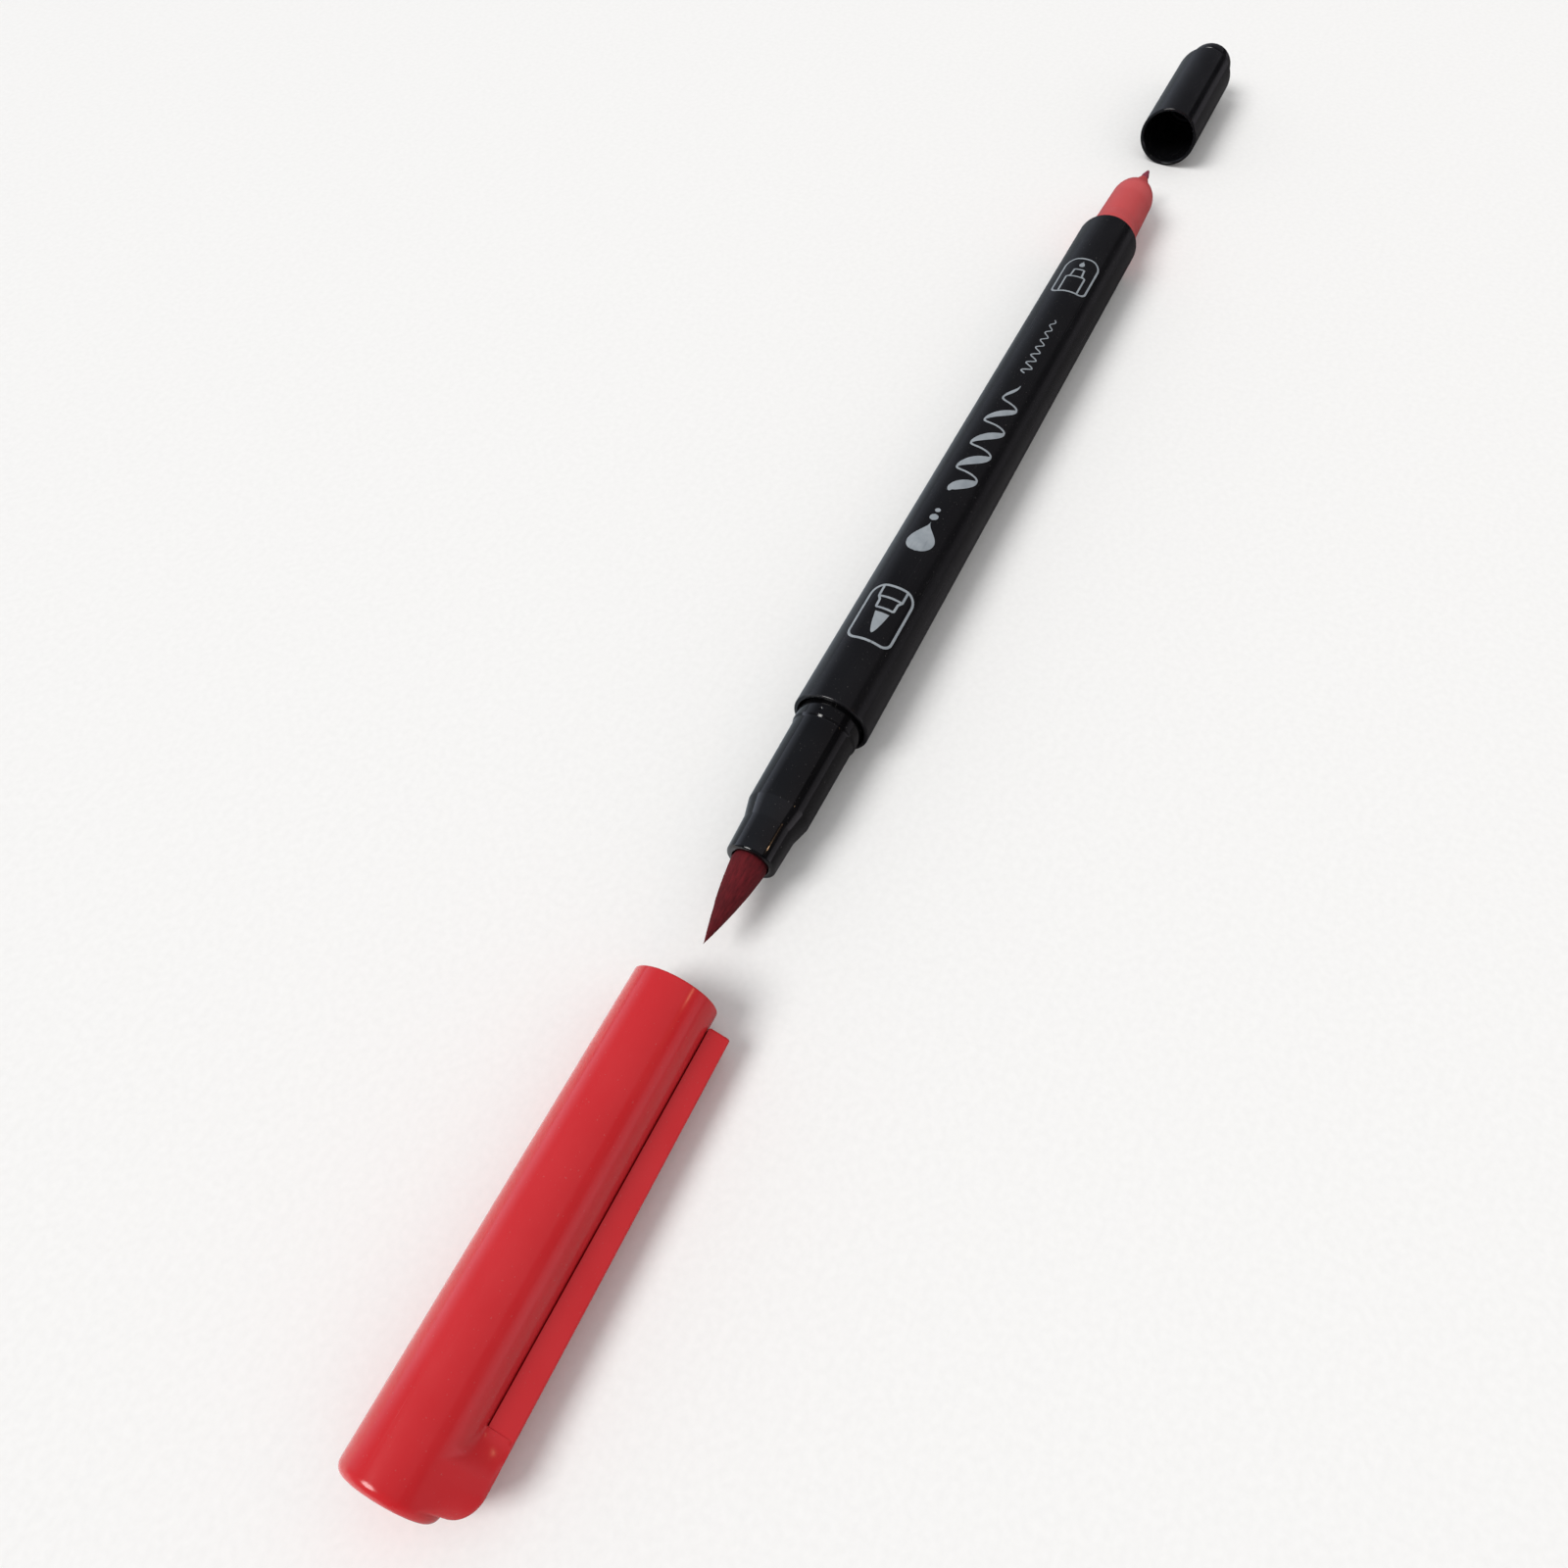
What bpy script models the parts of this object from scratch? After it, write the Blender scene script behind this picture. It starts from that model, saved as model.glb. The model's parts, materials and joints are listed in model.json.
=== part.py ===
"""A dual-tip brush pen with both caps pulled straight off, in metres, +Z up.

The pen's axis is the X axis, and the origin is the centre of the brush cap's closed end. From
there the pieces follow one another towards +X: brush cap, brush tip, barrel, fine tip, fine cap.
Each cap stands off its own tip, ready to be pushed on. The table that the pen lies on is one
barrel radius below the origin.
"""
import math

import bmesh
import bpy
from mathutils import Vector

MM = 0.001
SEGMENTS = 32
MERGE_DISTANCE = 0.001 * MM

# The barrel sets the size of everything else.
BARREL_RADIUS = 5.0 * MM
BARREL_LENGTH = 108.5 * MM
WALL = 0.7 * MM
BORE_RADIUS = BARREL_RADIUS - WALL
EDGE = 0.25 * MM
FIT_GAP = 0.15 * MM
END_GAP = 0.3 * MM
TABLE_GAP = 0.02 * MM
INSERT_RADIUS = BORE_RADIUS - FIT_GAP

# Brush side, measured from the barrel's end plane outwards.
BRUSH_INSERT_DEPTH = 14.0 * MM
BRUSH_COLLAR = 1.9 * MM
BRUSH_COLLAR_RADIUS = 4.2 * MM
GRIP_RADIUS = 4.02 * MM
GRIP_FRONT_RADIUS = 3.88 * MM
GRIP_END = 14.2 * MM
NOSE_START = 16.7 * MM
NOSE_RADIUS = 3.25 * MM
NOSE_FRONT_RADIUS = 3.1 * MM
SECTION_LENGTH = 21.4 * MM
LIP_ROUND = 0.6 * MM
NIB_HOLE_RADIUS = 2.45 * MM
BRUSH_REAR_BORE = 3.3 * MM
BRUSH_SHANK_RADIUS = 2.1 * MM
BRUSH_SHANK_DEPTH = 19.0 * MM
BRUSH_SHANK_END = 21.2 * MM
BRUSH_HINGE = 21.6 * MM
BRUSH_BASE = 21.95 * MM
BRUSH_RADIUS = 2.2 * MM
BRUSH_TIP = 32.45 * MM
BRUSH_FULLNESS = 0.45

# Fine side, measured from the barrel's other end plane outwards.
FINE_INSERT_DEPTH = 12.0 * MM
FINE_COLLAR = 2.6 * MM
FINE_COLLAR_RADIUS = 4.1 * MM
FINE_COLLAR_FRONT_RADIUS = 3.9 * MM
FINE_GRIP_RADIUS = 3.8 * MM
FINE_GRIP_FRONT_RADIUS = 3.55 * MM
FINE_SHOULDER_START = 13.4 * MM
FINE_SHOULDER_END = 17.8 * MM
CONE_BASE_RADIUS = 1.75 * MM
CONE_FRONT_RADIUS = 0.95 * MM
FINE_SECTION_LENGTH = 20.6 * MM
FINE_NIB_RADIUS = 0.65 * MM
FINE_NIB_HOLE = 0.8 * MM
FINE_NIB_DEPTH = 17.0 * MM
FINE_NIB_TAPER = 22.0 * MM
FINE_TIP = 23.8 * MM
FINE_POINT_RADIUS = 0.24 * MM
FINE_POINT_ROUND = 0.35 * MM
FINE_REAR_BORE = 3.0 * MM

# Ink store between the two section inserts.
FILM_RADIUS = 4.1 * MM
FILM_THICKNESS = 0.2 * MM
FILM_SHORTER = 2.0 * MM

# Caps, measured from the mouth to the closed end.
BRUSH_CAP_STAND_OFF = 6.0 * MM
FINE_CAP_STAND_OFF = 12.0 * MM
CAP_BORE = 4.35 * MM
BRUSH_CAP_LENGTH = 50.75 * MM
BRUSH_CAP_DEPTH = 48.6 * MM
BRUSH_CAP_STEP = 40.0 * MM
BRUSH_CAP_END_BORE = 3.2 * MM
BRUSH_CAP_END_ROUND = 1.0 * MM
BRUSH_LINER_START = 17.4 * MM
BRUSH_LINER_END = 38.6 * MM
BRUSH_LINER_BORE = 3.4 * MM
LINER_WALL = 0.8 * MM

CLIP_TOP = 7.35 * MM
CLIP_FREE_END = 1.9 * MM
CLIP_ROOT = 42.0 * MM
CLIP_HALF_WIDTH_FREE = 1.9 * MM
CLIP_HALF_WIDTH_ROOT = 2.4 * MM
CLIP_FLANGE = 0.8 * MM
CLIP_CEILING = 6.3 * MM
CLIP_CHAMFER = 0.3 * MM
CLIP_CLEARANCE = 0.35 * MM
CLIP_LIP_LIFT = 0.9 * MM
CLIP_PAD_START = 4.3 * MM
CLIP_PAD_END = 7.3 * MM
CLIP_PAD_RAMP = 1.6 * MM
CLIP_PAD_WALL = 0.15 * MM
SHOULDER_RISE = 0.05 * MM
SHOULDER_ROUND = 2.9 * MM
SHOULDER_HALF_WIDTH = CLIP_HALF_WIDTH_ROOT + 0.2 * MM

FINE_CAP_BODY = 24.1 * MM
FINE_CAP_BODY_ROUND = 0.35 * MM
FINE_CAP_LENGTH = 28.4 * MM
NECK_RADIUS = 3.7 * MM
NECK_BEAD_RADIUS = 3.97 * MM
NECK_BEAD_START = 26.4 * MM
NECK_BEAD_ROUND = 0.45 * MM
NECK_BORE = 3.1 * MM
NECK_BORE_EDGE = 0.1 * MM
FINE_CAP_STEP = 20.2 * MM
FINE_LINER_START = 14.6 * MM
FINE_LINER_SKIRT_END = 19.9 * MM
FINE_LINER_SKIRT_BORE = 3.6 * MM
FINE_LINER_TUBE_RADIUS = 2.15 * MM
FINE_LINER_TUBE_BORE = 1.3 * MM
FINE_LINER_END = 27.9 * MM
FINE_LINER_EDGE = 0.2 * MM
FINE_LINER_SHELF = 1.0 * MM

CAP_LINER_RADIUS = CAP_BORE - FIT_GAP

# Places along X, from the brush cap's closed end.
BRUSH_CAP_MOUTH = BRUSH_CAP_LENGTH
BRUSH_END = BRUSH_CAP_MOUTH + BRUSH_CAP_STAND_OFF + BRUSH_TIP
BARREL_MIDDLE = BRUSH_END + BARREL_LENGTH / 2
FINE_END = BRUSH_END + BARREL_LENGTH
FINE_CAP_MOUTH = FINE_END + FINE_TIP + FINE_CAP_STAND_OFF


def clear_scene():
    """Remove every object, so that the file holds only the pen."""
    for thing in list(bpy.data.objects):
        bpy.data.objects.remove(thing, do_unlink=True)


def make_material(name, colour, roughness):
    """A Principled material of one colour."""
    material = bpy.data.materials.new(name)
    material.use_nodes = True
    shader = material.node_tree.nodes["Principled BSDF"]
    shader.inputs["Base Color"].default_value = (*colour, 1.0)
    shader.inputs["Roughness"].default_value = roughness
    shader.inputs["Metallic"].default_value = 0.0
    return material


def finish_mesh(name, bm, material, parent=None, place=(0, 0, 0)):
    """Turn a bmesh into a smooth-shaded object with its faces pointing out."""
    bmesh.ops.recalc_face_normals(bm, faces=bm.faces)
    if bm.calc_volume(signed=True) < 0:
        bmesh.ops.reverse_faces(bm, faces=bm.faces)
    mesh = bpy.data.meshes.new(name)
    bm.to_mesh(mesh)
    bm.free()
    mesh.shade_smooth()
    mesh.set_sharp_from_angle(angle=math.radians(35))
    mesh.materials.append(material)
    thing = bpy.data.objects.new(name, mesh)
    bpy.context.scene.collection.objects.link(thing)
    thing.parent = parent
    thing.location = place
    return thing


def turned(name, outline, material, parent, start=0.0):
    """Spin an outline of (distance along X, radius) points about the X axis.

    An outline whose ends are both on the axis makes a solid piece. Any other outline is closed
    into a loop and makes a tube. The object's origin is at the distance given by start.
    """
    solid = outline[0][1] == 0 and outline[-1][1] == 0
    bm = bmesh.new()
    points = [bm.verts.new((along - start, 0, radius)) for along, radius in outline]
    pairs = list(zip(points, points[1:]))
    if not solid:
        pairs.append((points[-1], points[0]))
    edges = [bm.edges.new(pair) for pair in pairs]
    bmesh.ops.spin(
        bm,
        geom=points + edges,
        cent=(0, 0, 0),
        axis=(1, 0, 0),
        angle=math.tau,
        steps=SEGMENTS,
        use_merge=True,
    )
    bmesh.ops.remove_doubles(bm, verts=bm.verts, dist=MERGE_DISTANCE)
    return finish_mesh(name, bm, material, parent, (start, 0, 0))


def arc(centre, radius, start, end, steps):
    """Points of a round corner, from one angle to another in degrees, in the outline's plane."""
    angles = [math.radians(start + (end - start) * i / steps) for i in range(steps + 1)]
    return [(centre[0] + radius * math.cos(a), centre[1] + radius * math.sin(a)) for a in angles]


def skin(bm, rings):
    """Join rings of equal point counts into a closed skin, with a face over each end."""
    rows = [[bm.verts.new(point) for point in ring] for ring in rings]
    count = len(rows[0])
    for near, far in zip(rows, rows[1:]):
        for i in range(count):
            bm.faces.new((near[i], near[(i + 1) % count], far[(i + 1) % count], far[i]))
    bm.faces.new(rows[0])
    bm.faces.new(rows[-1])


def axis_frame(name, place, turn):
    """An empty on the pen's axis that carries the pieces of one end or one cap."""
    frame = bpy.data.objects.new(name, None)
    frame.location = (place, 0, 0)
    frame.rotation_euler = turn
    bpy.context.scene.collection.objects.link(frame)
    return frame


def clip_droop():
    """Angle below the horizontal at which the clip's lower corner just touches the table."""
    half_width = SHOULDER_HALF_WIDTH
    reach = math.hypot(CLIP_TOP, half_width)
    return math.asin((BARREL_RADIUS - TABLE_GAP) / reach) - math.atan2(half_width, CLIP_TOP)


def add_barrel(material, frame):
    """The straight tube, with a small round on each outer edge and a lead-in in each bore."""
    half = BARREL_LENGTH / 2
    outline = [(-half, BORE_RADIUS + EDGE)]
    outline += arc((-half + EDGE, BARREL_RADIUS - EDGE), EDGE, 180, 90, 3)
    outline += arc((half - EDGE, BARREL_RADIUS - EDGE), EDGE, 90, 0, 3)
    outline += [(half, BORE_RADIUS + EDGE), (half - EDGE, BORE_RADIUS), (-half + EDGE, BORE_RADIUS)]
    turned("barrel", outline, material, frame)


def add_brush_section(material, frame):
    """The black front end: insert, collar, long grip, cone and a nose with a round lip."""
    lip = (SECTION_LENGTH - LIP_ROUND, NOSE_FRONT_RADIUS - LIP_ROUND)
    outline = [
        (-BRUSH_INSERT_DEPTH, BRUSH_REAR_BORE),
        (-BRUSH_INSERT_DEPTH, INSERT_RADIUS),
        (END_GAP, INSERT_RADIUS),
        (END_GAP, BRUSH_COLLAR_RADIUS),
        (BRUSH_COLLAR, BRUSH_COLLAR_RADIUS),
        (BRUSH_COLLAR + EDGE, GRIP_RADIUS),
        (GRIP_END, GRIP_FRONT_RADIUS),
        (NOSE_START, NOSE_RADIUS),
    ]
    outline += arc(lip, LIP_ROUND, 90, 0, 3)
    outline += [
        (SECTION_LENGTH, NIB_HOLE_RADIUS),
        (NOSE_START - EDGE, NIB_HOLE_RADIUS),
        (GRIP_END, BRUSH_REAR_BORE),
    ]
    turned("brush_section", outline, material, frame)


def add_brush_nib(material, frame):
    """The bonded-fibre tip: a shank held in the section, and the soft point that bends."""
    shank = [
        (-BRUSH_SHANK_DEPTH, 0),
        (-BRUSH_SHANK_DEPTH, BRUSH_SHANK_RADIUS),
        (BRUSH_SHANK_END, BRUSH_SHANK_RADIUS),
        (BRUSH_SHANK_END, 0),
    ]
    turned("brush_nib_shank", shank, material, frame)
    steps = 7
    outline = [(BRUSH_BASE, 0)]
    for i in range(steps):
        part = i / steps
        radius = BRUSH_RADIUS * (1 - part) * (1 + BRUSH_FULLNESS * part)
        outline.append((BRUSH_BASE + (BRUSH_TIP - BRUSH_BASE) * part, radius))
    outline.append((BRUSH_TIP, 0))
    turned("brush_nib", outline, material, frame, BRUSH_HINGE)


def add_fine_section(material, frame):
    """The coral front end: insert, collar, grip, domed shoulder and a slim nozzle."""
    dome_length = FINE_SHOULDER_END - FINE_SHOULDER_START
    dome_drop = FINE_GRIP_FRONT_RADIUS - CONE_BASE_RADIUS
    outline = [
        (-FINE_INSERT_DEPTH, FINE_REAR_BORE),
        (-FINE_INSERT_DEPTH, INSERT_RADIUS),
        (END_GAP, INSERT_RADIUS),
        (END_GAP, FINE_COLLAR_RADIUS),
        (FINE_COLLAR, FINE_COLLAR_FRONT_RADIUS),
        (FINE_COLLAR + EDGE, FINE_GRIP_RADIUS),
    ]
    steps = 5
    for i in range(steps + 1):
        part = i / steps
        along = FINE_SHOULDER_START + dome_length * part
        outline.append((along, FINE_GRIP_FRONT_RADIUS - dome_drop * part**2))
    outline += [
        (FINE_SECTION_LENGTH, CONE_FRONT_RADIUS),
        (FINE_SECTION_LENGTH, FINE_NIB_HOLE),
        (FINE_SHOULDER_END, FINE_NIB_HOLE),
        (FINE_SHOULDER_START, FINE_REAR_BORE),
    ]
    turned("fine_section", outline, material, frame)


def add_fine_nib(material, frame):
    """The hard fibre rod, which runs from the ink store to its rounded writing point."""
    outline = [
        (-FINE_NIB_DEPTH, 0),
        (-FINE_NIB_DEPTH, FINE_NIB_RADIUS),
        (FINE_NIB_TAPER, FINE_NIB_RADIUS),
        (FINE_TIP - FINE_POINT_ROUND, FINE_POINT_RADIUS),
        (FINE_TIP - 0.3 * FINE_POINT_ROUND, 0.7 * FINE_POINT_RADIUS),
        (FINE_TIP, 0),
    ]
    turned("fine_nib", outline, material, frame)


def add_ink_store(wadding, film, frame):
    """The fibre wadding, bored at each end for a nib, and the film wrapped round it."""
    half = BARREL_LENGTH / 2
    low = -half + BRUSH_INSERT_DEPTH + END_GAP
    high = half - FINE_INSERT_DEPTH - END_GAP
    radius = FILM_RADIUS - FILM_THICKNESS - FIT_GAP
    brush_hole = BRUSH_SHANK_RADIUS + FIT_GAP
    fine_hole = FINE_NIB_RADIUS + FIT_GAP
    brush_hole_end = -half + BRUSH_SHANK_DEPTH + END_GAP
    fine_hole_end = half - FINE_NIB_DEPTH - END_GAP
    outline = [
        (brush_hole_end, 0),
        (brush_hole_end, brush_hole),
        (low, brush_hole),
        (low, radius),
        (high, radius),
        (high, fine_hole),
        (fine_hole_end, fine_hole),
        (fine_hole_end, 0),
    ]
    turned("ink_reservoir", outline, wadding, frame)
    inner = FILM_RADIUS - FILM_THICKNESS
    sleeve = [
        (low + FILM_SHORTER, inner),
        (low + FILM_SHORTER, FILM_RADIUS),
        (high - FILM_SHORTER, FILM_RADIUS),
        (high - FILM_SHORTER, inner),
    ]
    turned("reservoir_film", sleeve, film, frame)


def corner_turn(top):
    """Angle from the clip's middle line to the shoulder's corner, for a shoulder of this height."""
    return math.atan2(SHOULDER_HALF_WIDTH, top)


def shoulder_radius(turn, top):
    """Outer radius of the brush cap at an angle from the clip, where its shoulder stands to top.

    The outline is the round body, joined by straight tangent flanks to a flat top.
    """
    turn = abs(turn)
    corner = corner_turn(top)
    if turn <= corner:
        return top / math.cos(turn)
    touch = corner + math.acos(min(1.0, BARREL_RADIUS / math.hypot(SHOULDER_HALF_WIDTH, top)))
    if turn < touch:
        return BARREL_RADIUS / math.cos(touch - turn)
    return BARREL_RADIUS


def ring_turns():
    """Angles of a ring's points. The two next to the shoulder's corners sit exactly on them."""
    step = math.tau / SEGMENTS
    corner = corner_turn(CLIP_TOP)
    turns = [step * i - math.pi for i in range(SEGMENTS)]
    return [math.copysign(corner, t) if abs(abs(t) - corner) < step / 2 else t for t in turns]


def cap_ring(along, radius, top=None):
    """One ring of the brush cap: a circle, or the shoulder's outline where a top is given."""
    points = []
    for turn in ring_turns():
        reach = radius if top is None else shoulder_radius(turn, top)
        points.append((along, reach * math.sin(turn), reach * math.cos(turn)))
    return points


def add_brush_cap(material, frame):
    """The red shell, with the solid shoulder that the pocket clip springs from."""
    end = BRUSH_CAP_LENGTH
    shoulder_start = CLIP_ROOT + END_GAP
    rings = [
        cap_ring(BRUSH_CAP_DEPTH, BRUSH_CAP_END_BORE),
        cap_ring(BRUSH_CAP_STEP, BRUSH_CAP_END_BORE),
        cap_ring(BRUSH_CAP_STEP, CAP_BORE),
        cap_ring(EDGE, CAP_BORE),
        cap_ring(0, CAP_BORE + EDGE),
        cap_ring(0, BARREL_RADIUS - EDGE),
        cap_ring(EDGE, BARREL_RADIUS),
        cap_ring(shoulder_start, BARREL_RADIUS),
        cap_ring(shoulder_start + SHOULDER_RISE, BARREL_RADIUS, CLIP_TOP),
    ]
    steps = 5
    round_start = end - BRUSH_CAP_END_ROUND - SHOULDER_ROUND
    for i in range(steps):
        turn = math.radians(90 * i / steps)
        top = BARREL_RADIUS + (CLIP_TOP - BARREL_RADIUS) * math.cos(turn)
        rings.append(cap_ring(round_start + SHOULDER_ROUND * math.sin(turn), BARREL_RADIUS, top))
    centre = (end - BRUSH_CAP_END_ROUND, BARREL_RADIUS - BRUSH_CAP_END_ROUND)
    rings += [cap_ring(*point) for point in arc(centre, BRUSH_CAP_END_ROUND, 90, 0, 3)]
    bm = bmesh.new()
    skin(bm, rings)
    finish_mesh("brush_cap", bm, material, frame)


def clip_section(along, half_width, bottom, ceiling, top):
    """One section of the channel-shaped clip, whose flange feet follow the cap's round body."""
    inner = half_width - CLIP_FLANGE
    foot = math.sqrt(bottom**2 - half_width**2)
    inner_foot = math.sqrt(bottom**2 - inner**2)
    side = [
        (inner, ceiling),
        (inner, inner_foot),
        (half_width, foot),
        (half_width, top - CLIP_CHAMFER),
        (half_width - CLIP_CHAMFER, top),
    ]
    mirrored = [(-y, z) for y, z in reversed(side)]
    return [(along, y, z) for y, z in side + mirrored]


def add_clip(material, frame):
    """The pocket clip: a hollow-backed strip with a grip pad near its free end.

    Its origin is at its root, on the line that it bends about.
    """
    body = BARREL_RADIUS + CLIP_CLEARANCE
    lip = body + CLIP_LIP_LIFT
    pad = body + CLIP_PAD_WALL
    stations = [
        (CLIP_FREE_END, lip, lip + CLIP_CHAMFER, CLIP_TOP - CLIP_CHAMFER),
        (CLIP_FREE_END + CLIP_CHAMFER, lip - CLIP_CHAMFER, lip, CLIP_TOP),
        (CLIP_PAD_START, body, pad, CLIP_TOP),
        (CLIP_PAD_END, body, pad, CLIP_TOP),
        (CLIP_PAD_END + CLIP_PAD_RAMP, body, CLIP_CEILING, CLIP_TOP),
        (CLIP_ROOT, body, CLIP_CEILING, CLIP_TOP),
    ]
    hinge = Vector((CLIP_ROOT + END_GAP / 2, 0, (CLIP_CEILING + CLIP_TOP) / 2))
    rings = []
    for along, bottom, ceiling, top in stations:
        part = (along - CLIP_FREE_END) / (CLIP_ROOT - CLIP_FREE_END)
        half_width = CLIP_HALF_WIDTH_FREE + (CLIP_HALF_WIDTH_ROOT - CLIP_HALF_WIDTH_FREE) * part
        section = clip_section(along, half_width, bottom, ceiling, top)
        rings.append([Vector(point) - hinge for point in section])
    bm = bmesh.new()
    skin(bm, rings)
    finish_mesh("brush_cap_clip", bm, material, frame, hinge)


def add_brush_cap_liner(material, frame):
    """The inner cap: a cup that seals on the section's nose and keeps the brush tip moist."""
    outline = [
        (BRUSH_LINER_END, 0),
        (BRUSH_LINER_END, CAP_LINER_RADIUS),
        (BRUSH_LINER_START, CAP_LINER_RADIUS),
        (BRUSH_LINER_START, BRUSH_LINER_BORE),
        (BRUSH_LINER_END - LINER_WALL, BRUSH_LINER_BORE),
        (BRUSH_LINER_END - LINER_WALL, 0),
    ]
    turned("brush_cap_liner", outline, material, frame)


def add_fine_cap(material, frame):
    """The black shell, whose beaded neck lets the brush cap be parked on it."""
    body_round = FINE_CAP_BODY_ROUND
    bead_round = NECK_BEAD_ROUND
    body_corner = (FINE_CAP_BODY - body_round, BARREL_RADIUS - body_round)
    bead_corner = (FINE_CAP_LENGTH - bead_round, NECK_BEAD_RADIUS - bead_round)
    outline = [(0, CAP_BORE + EDGE)]
    outline += arc((EDGE, BARREL_RADIUS - EDGE), EDGE, 180, 90, 3)
    outline += arc(body_corner, body_round, 90, 0, 3)
    outline += [
        (FINE_CAP_BODY, NECK_RADIUS),
        (NECK_BEAD_START, NECK_RADIUS),
        (NECK_BEAD_START + EDGE, NECK_BEAD_RADIUS),
    ]
    outline += arc(bead_corner, bead_round, 90, 0, 3)
    outline += [
        (FINE_CAP_LENGTH, NECK_BORE + NECK_BORE_EDGE),
        (FINE_CAP_LENGTH - NECK_BORE_EDGE, NECK_BORE),
        (FINE_CAP_STEP, NECK_BORE),
        (FINE_CAP_STEP, CAP_BORE),
        (EDGE, CAP_BORE),
    ]
    turned("fine_cap", outline, material, frame)


def add_fine_cap_liner(material, frame):
    """The inner cap: a skirt over the section's dome, and a closed tube over nozzle and nib."""
    shelf = FINE_LINER_SKIRT_END - FINE_LINER_SHELF
    edge = FINE_LINER_EDGE
    outline = [
        (FINE_LINER_END, 0),
        (FINE_LINER_END, FINE_LINER_TUBE_RADIUS - edge),
        (FINE_LINER_END - edge, FINE_LINER_TUBE_RADIUS),
        (FINE_LINER_SKIRT_END, FINE_LINER_TUBE_RADIUS),
        (FINE_LINER_SKIRT_END, CAP_LINER_RADIUS),
        (FINE_LINER_START, CAP_LINER_RADIUS),
        (FINE_LINER_START, FINE_LINER_SKIRT_BORE),
        (shelf, FINE_LINER_SKIRT_BORE),
        (shelf, CONE_BASE_RADIUS),
        (FINE_SECTION_LENGTH + EDGE, FINE_LINER_TUBE_BORE),
        (FINE_LINER_END - LINER_WALL, FINE_LINER_TUBE_BORE),
        (FINE_LINER_END - LINER_WALL, 0),
    ]
    turned("fine_cap_liner", outline, material, frame)


def main():
    """Build the pen, then the two caps in front of its tips."""
    clear_scene()
    black = make_material("black_plastic", (0.012, 0.012, 0.014), 0.22)
    red = make_material("red_plastic", (0.55, 0.015, 0.022), 0.2)
    coral = make_material("coral_plastic", (0.55, 0.07, 0.075), 0.35)
    brush_fibre = make_material("brush_fibre", (0.16, 0.01, 0.02), 0.85)
    fine_fibre = make_material("fine_fibre", (0.26, 0.03, 0.06), 0.6)
    wadding = make_material("ink_wadding", (0.4, 0.02, 0.03), 0.95)
    film = make_material("clear_film", (0.8, 0.75, 0.75), 0.2)
    natural = make_material("natural_plastic", (0.75, 0.74, 0.72), 0.4)

    middle = axis_frame("pen_frame", BARREL_MIDDLE, (0, 0, 0))
    add_barrel(black, middle)
    add_ink_store(wadding, film, middle)

    brush_side = axis_frame("brush_side_frame", BRUSH_END, (0, 0, math.pi))
    add_brush_section(black, brush_side)
    add_brush_nib(brush_fibre, brush_side)

    fine_side = axis_frame("fine_side_frame", FINE_END, (0, 0, 0))
    add_fine_section(coral, fine_side)
    add_fine_nib(fine_fibre, fine_side)

    roll = -math.pi / 2 - clip_droop()
    brush_cap_frame = axis_frame("brush_cap_frame", BRUSH_CAP_MOUTH, (roll, 0, math.pi))
    add_brush_cap(red, brush_cap_frame)
    add_clip(red, brush_cap_frame)
    add_brush_cap_liner(natural, brush_cap_frame)

    fine_cap_frame = axis_frame("fine_cap_frame", FINE_CAP_MOUTH, (0, 0, 0))
    add_fine_cap(black, fine_cap_frame)
    add_fine_cap_liner(black, fine_cap_frame)


main()
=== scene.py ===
"""Looks for the dual-tip brush pen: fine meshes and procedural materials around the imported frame.

The pen's own axis is the X axis. Almost everything is an outline turned about it, so a point is
given by its place along X, its distance from the axis, and its turn, the angle from straight up
towards +Y. Lengths are in metres, written as multiples of MM.
"""
import json
import math

import bmesh
import bpy
from mathutils import Matrix, Vector, noise


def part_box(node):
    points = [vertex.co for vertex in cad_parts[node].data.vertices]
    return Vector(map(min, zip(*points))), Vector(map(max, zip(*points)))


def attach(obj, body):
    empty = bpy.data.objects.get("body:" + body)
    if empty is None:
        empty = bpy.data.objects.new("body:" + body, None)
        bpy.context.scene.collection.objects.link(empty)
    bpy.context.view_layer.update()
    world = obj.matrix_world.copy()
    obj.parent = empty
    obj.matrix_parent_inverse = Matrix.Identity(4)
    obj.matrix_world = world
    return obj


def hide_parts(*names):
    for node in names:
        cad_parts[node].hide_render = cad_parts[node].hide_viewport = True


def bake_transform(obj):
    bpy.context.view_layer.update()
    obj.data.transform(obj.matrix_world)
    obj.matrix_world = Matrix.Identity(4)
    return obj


MM = 0.001

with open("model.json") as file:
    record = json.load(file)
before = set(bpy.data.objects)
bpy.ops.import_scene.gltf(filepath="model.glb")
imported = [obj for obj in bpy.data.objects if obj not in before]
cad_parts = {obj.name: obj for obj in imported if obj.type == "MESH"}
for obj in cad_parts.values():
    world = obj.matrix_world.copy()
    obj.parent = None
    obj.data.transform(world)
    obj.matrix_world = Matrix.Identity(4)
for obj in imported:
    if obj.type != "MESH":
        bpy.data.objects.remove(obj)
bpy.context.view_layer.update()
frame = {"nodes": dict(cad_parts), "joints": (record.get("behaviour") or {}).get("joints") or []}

# Places and sizes that the frame gives.
BARREL_LOW, BARREL_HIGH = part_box("barrel")
BRUSH_END = BARREL_LOW.x
FINE_END = BARREL_HIGH.x
BARREL_MIDDLE = (BRUSH_END + FINE_END) / 2
BODY_RADIUS = BARREL_HIGH.z
TABLE = -BODY_RADIUS
CAP_LOW, CAP_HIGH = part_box("brush_cap")
BRUSH_CAP_MOUTH = CAP_HIGH.x
BRUSH_CAP_LENGTH = CAP_HIGH.x - CAP_LOW.x
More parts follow.
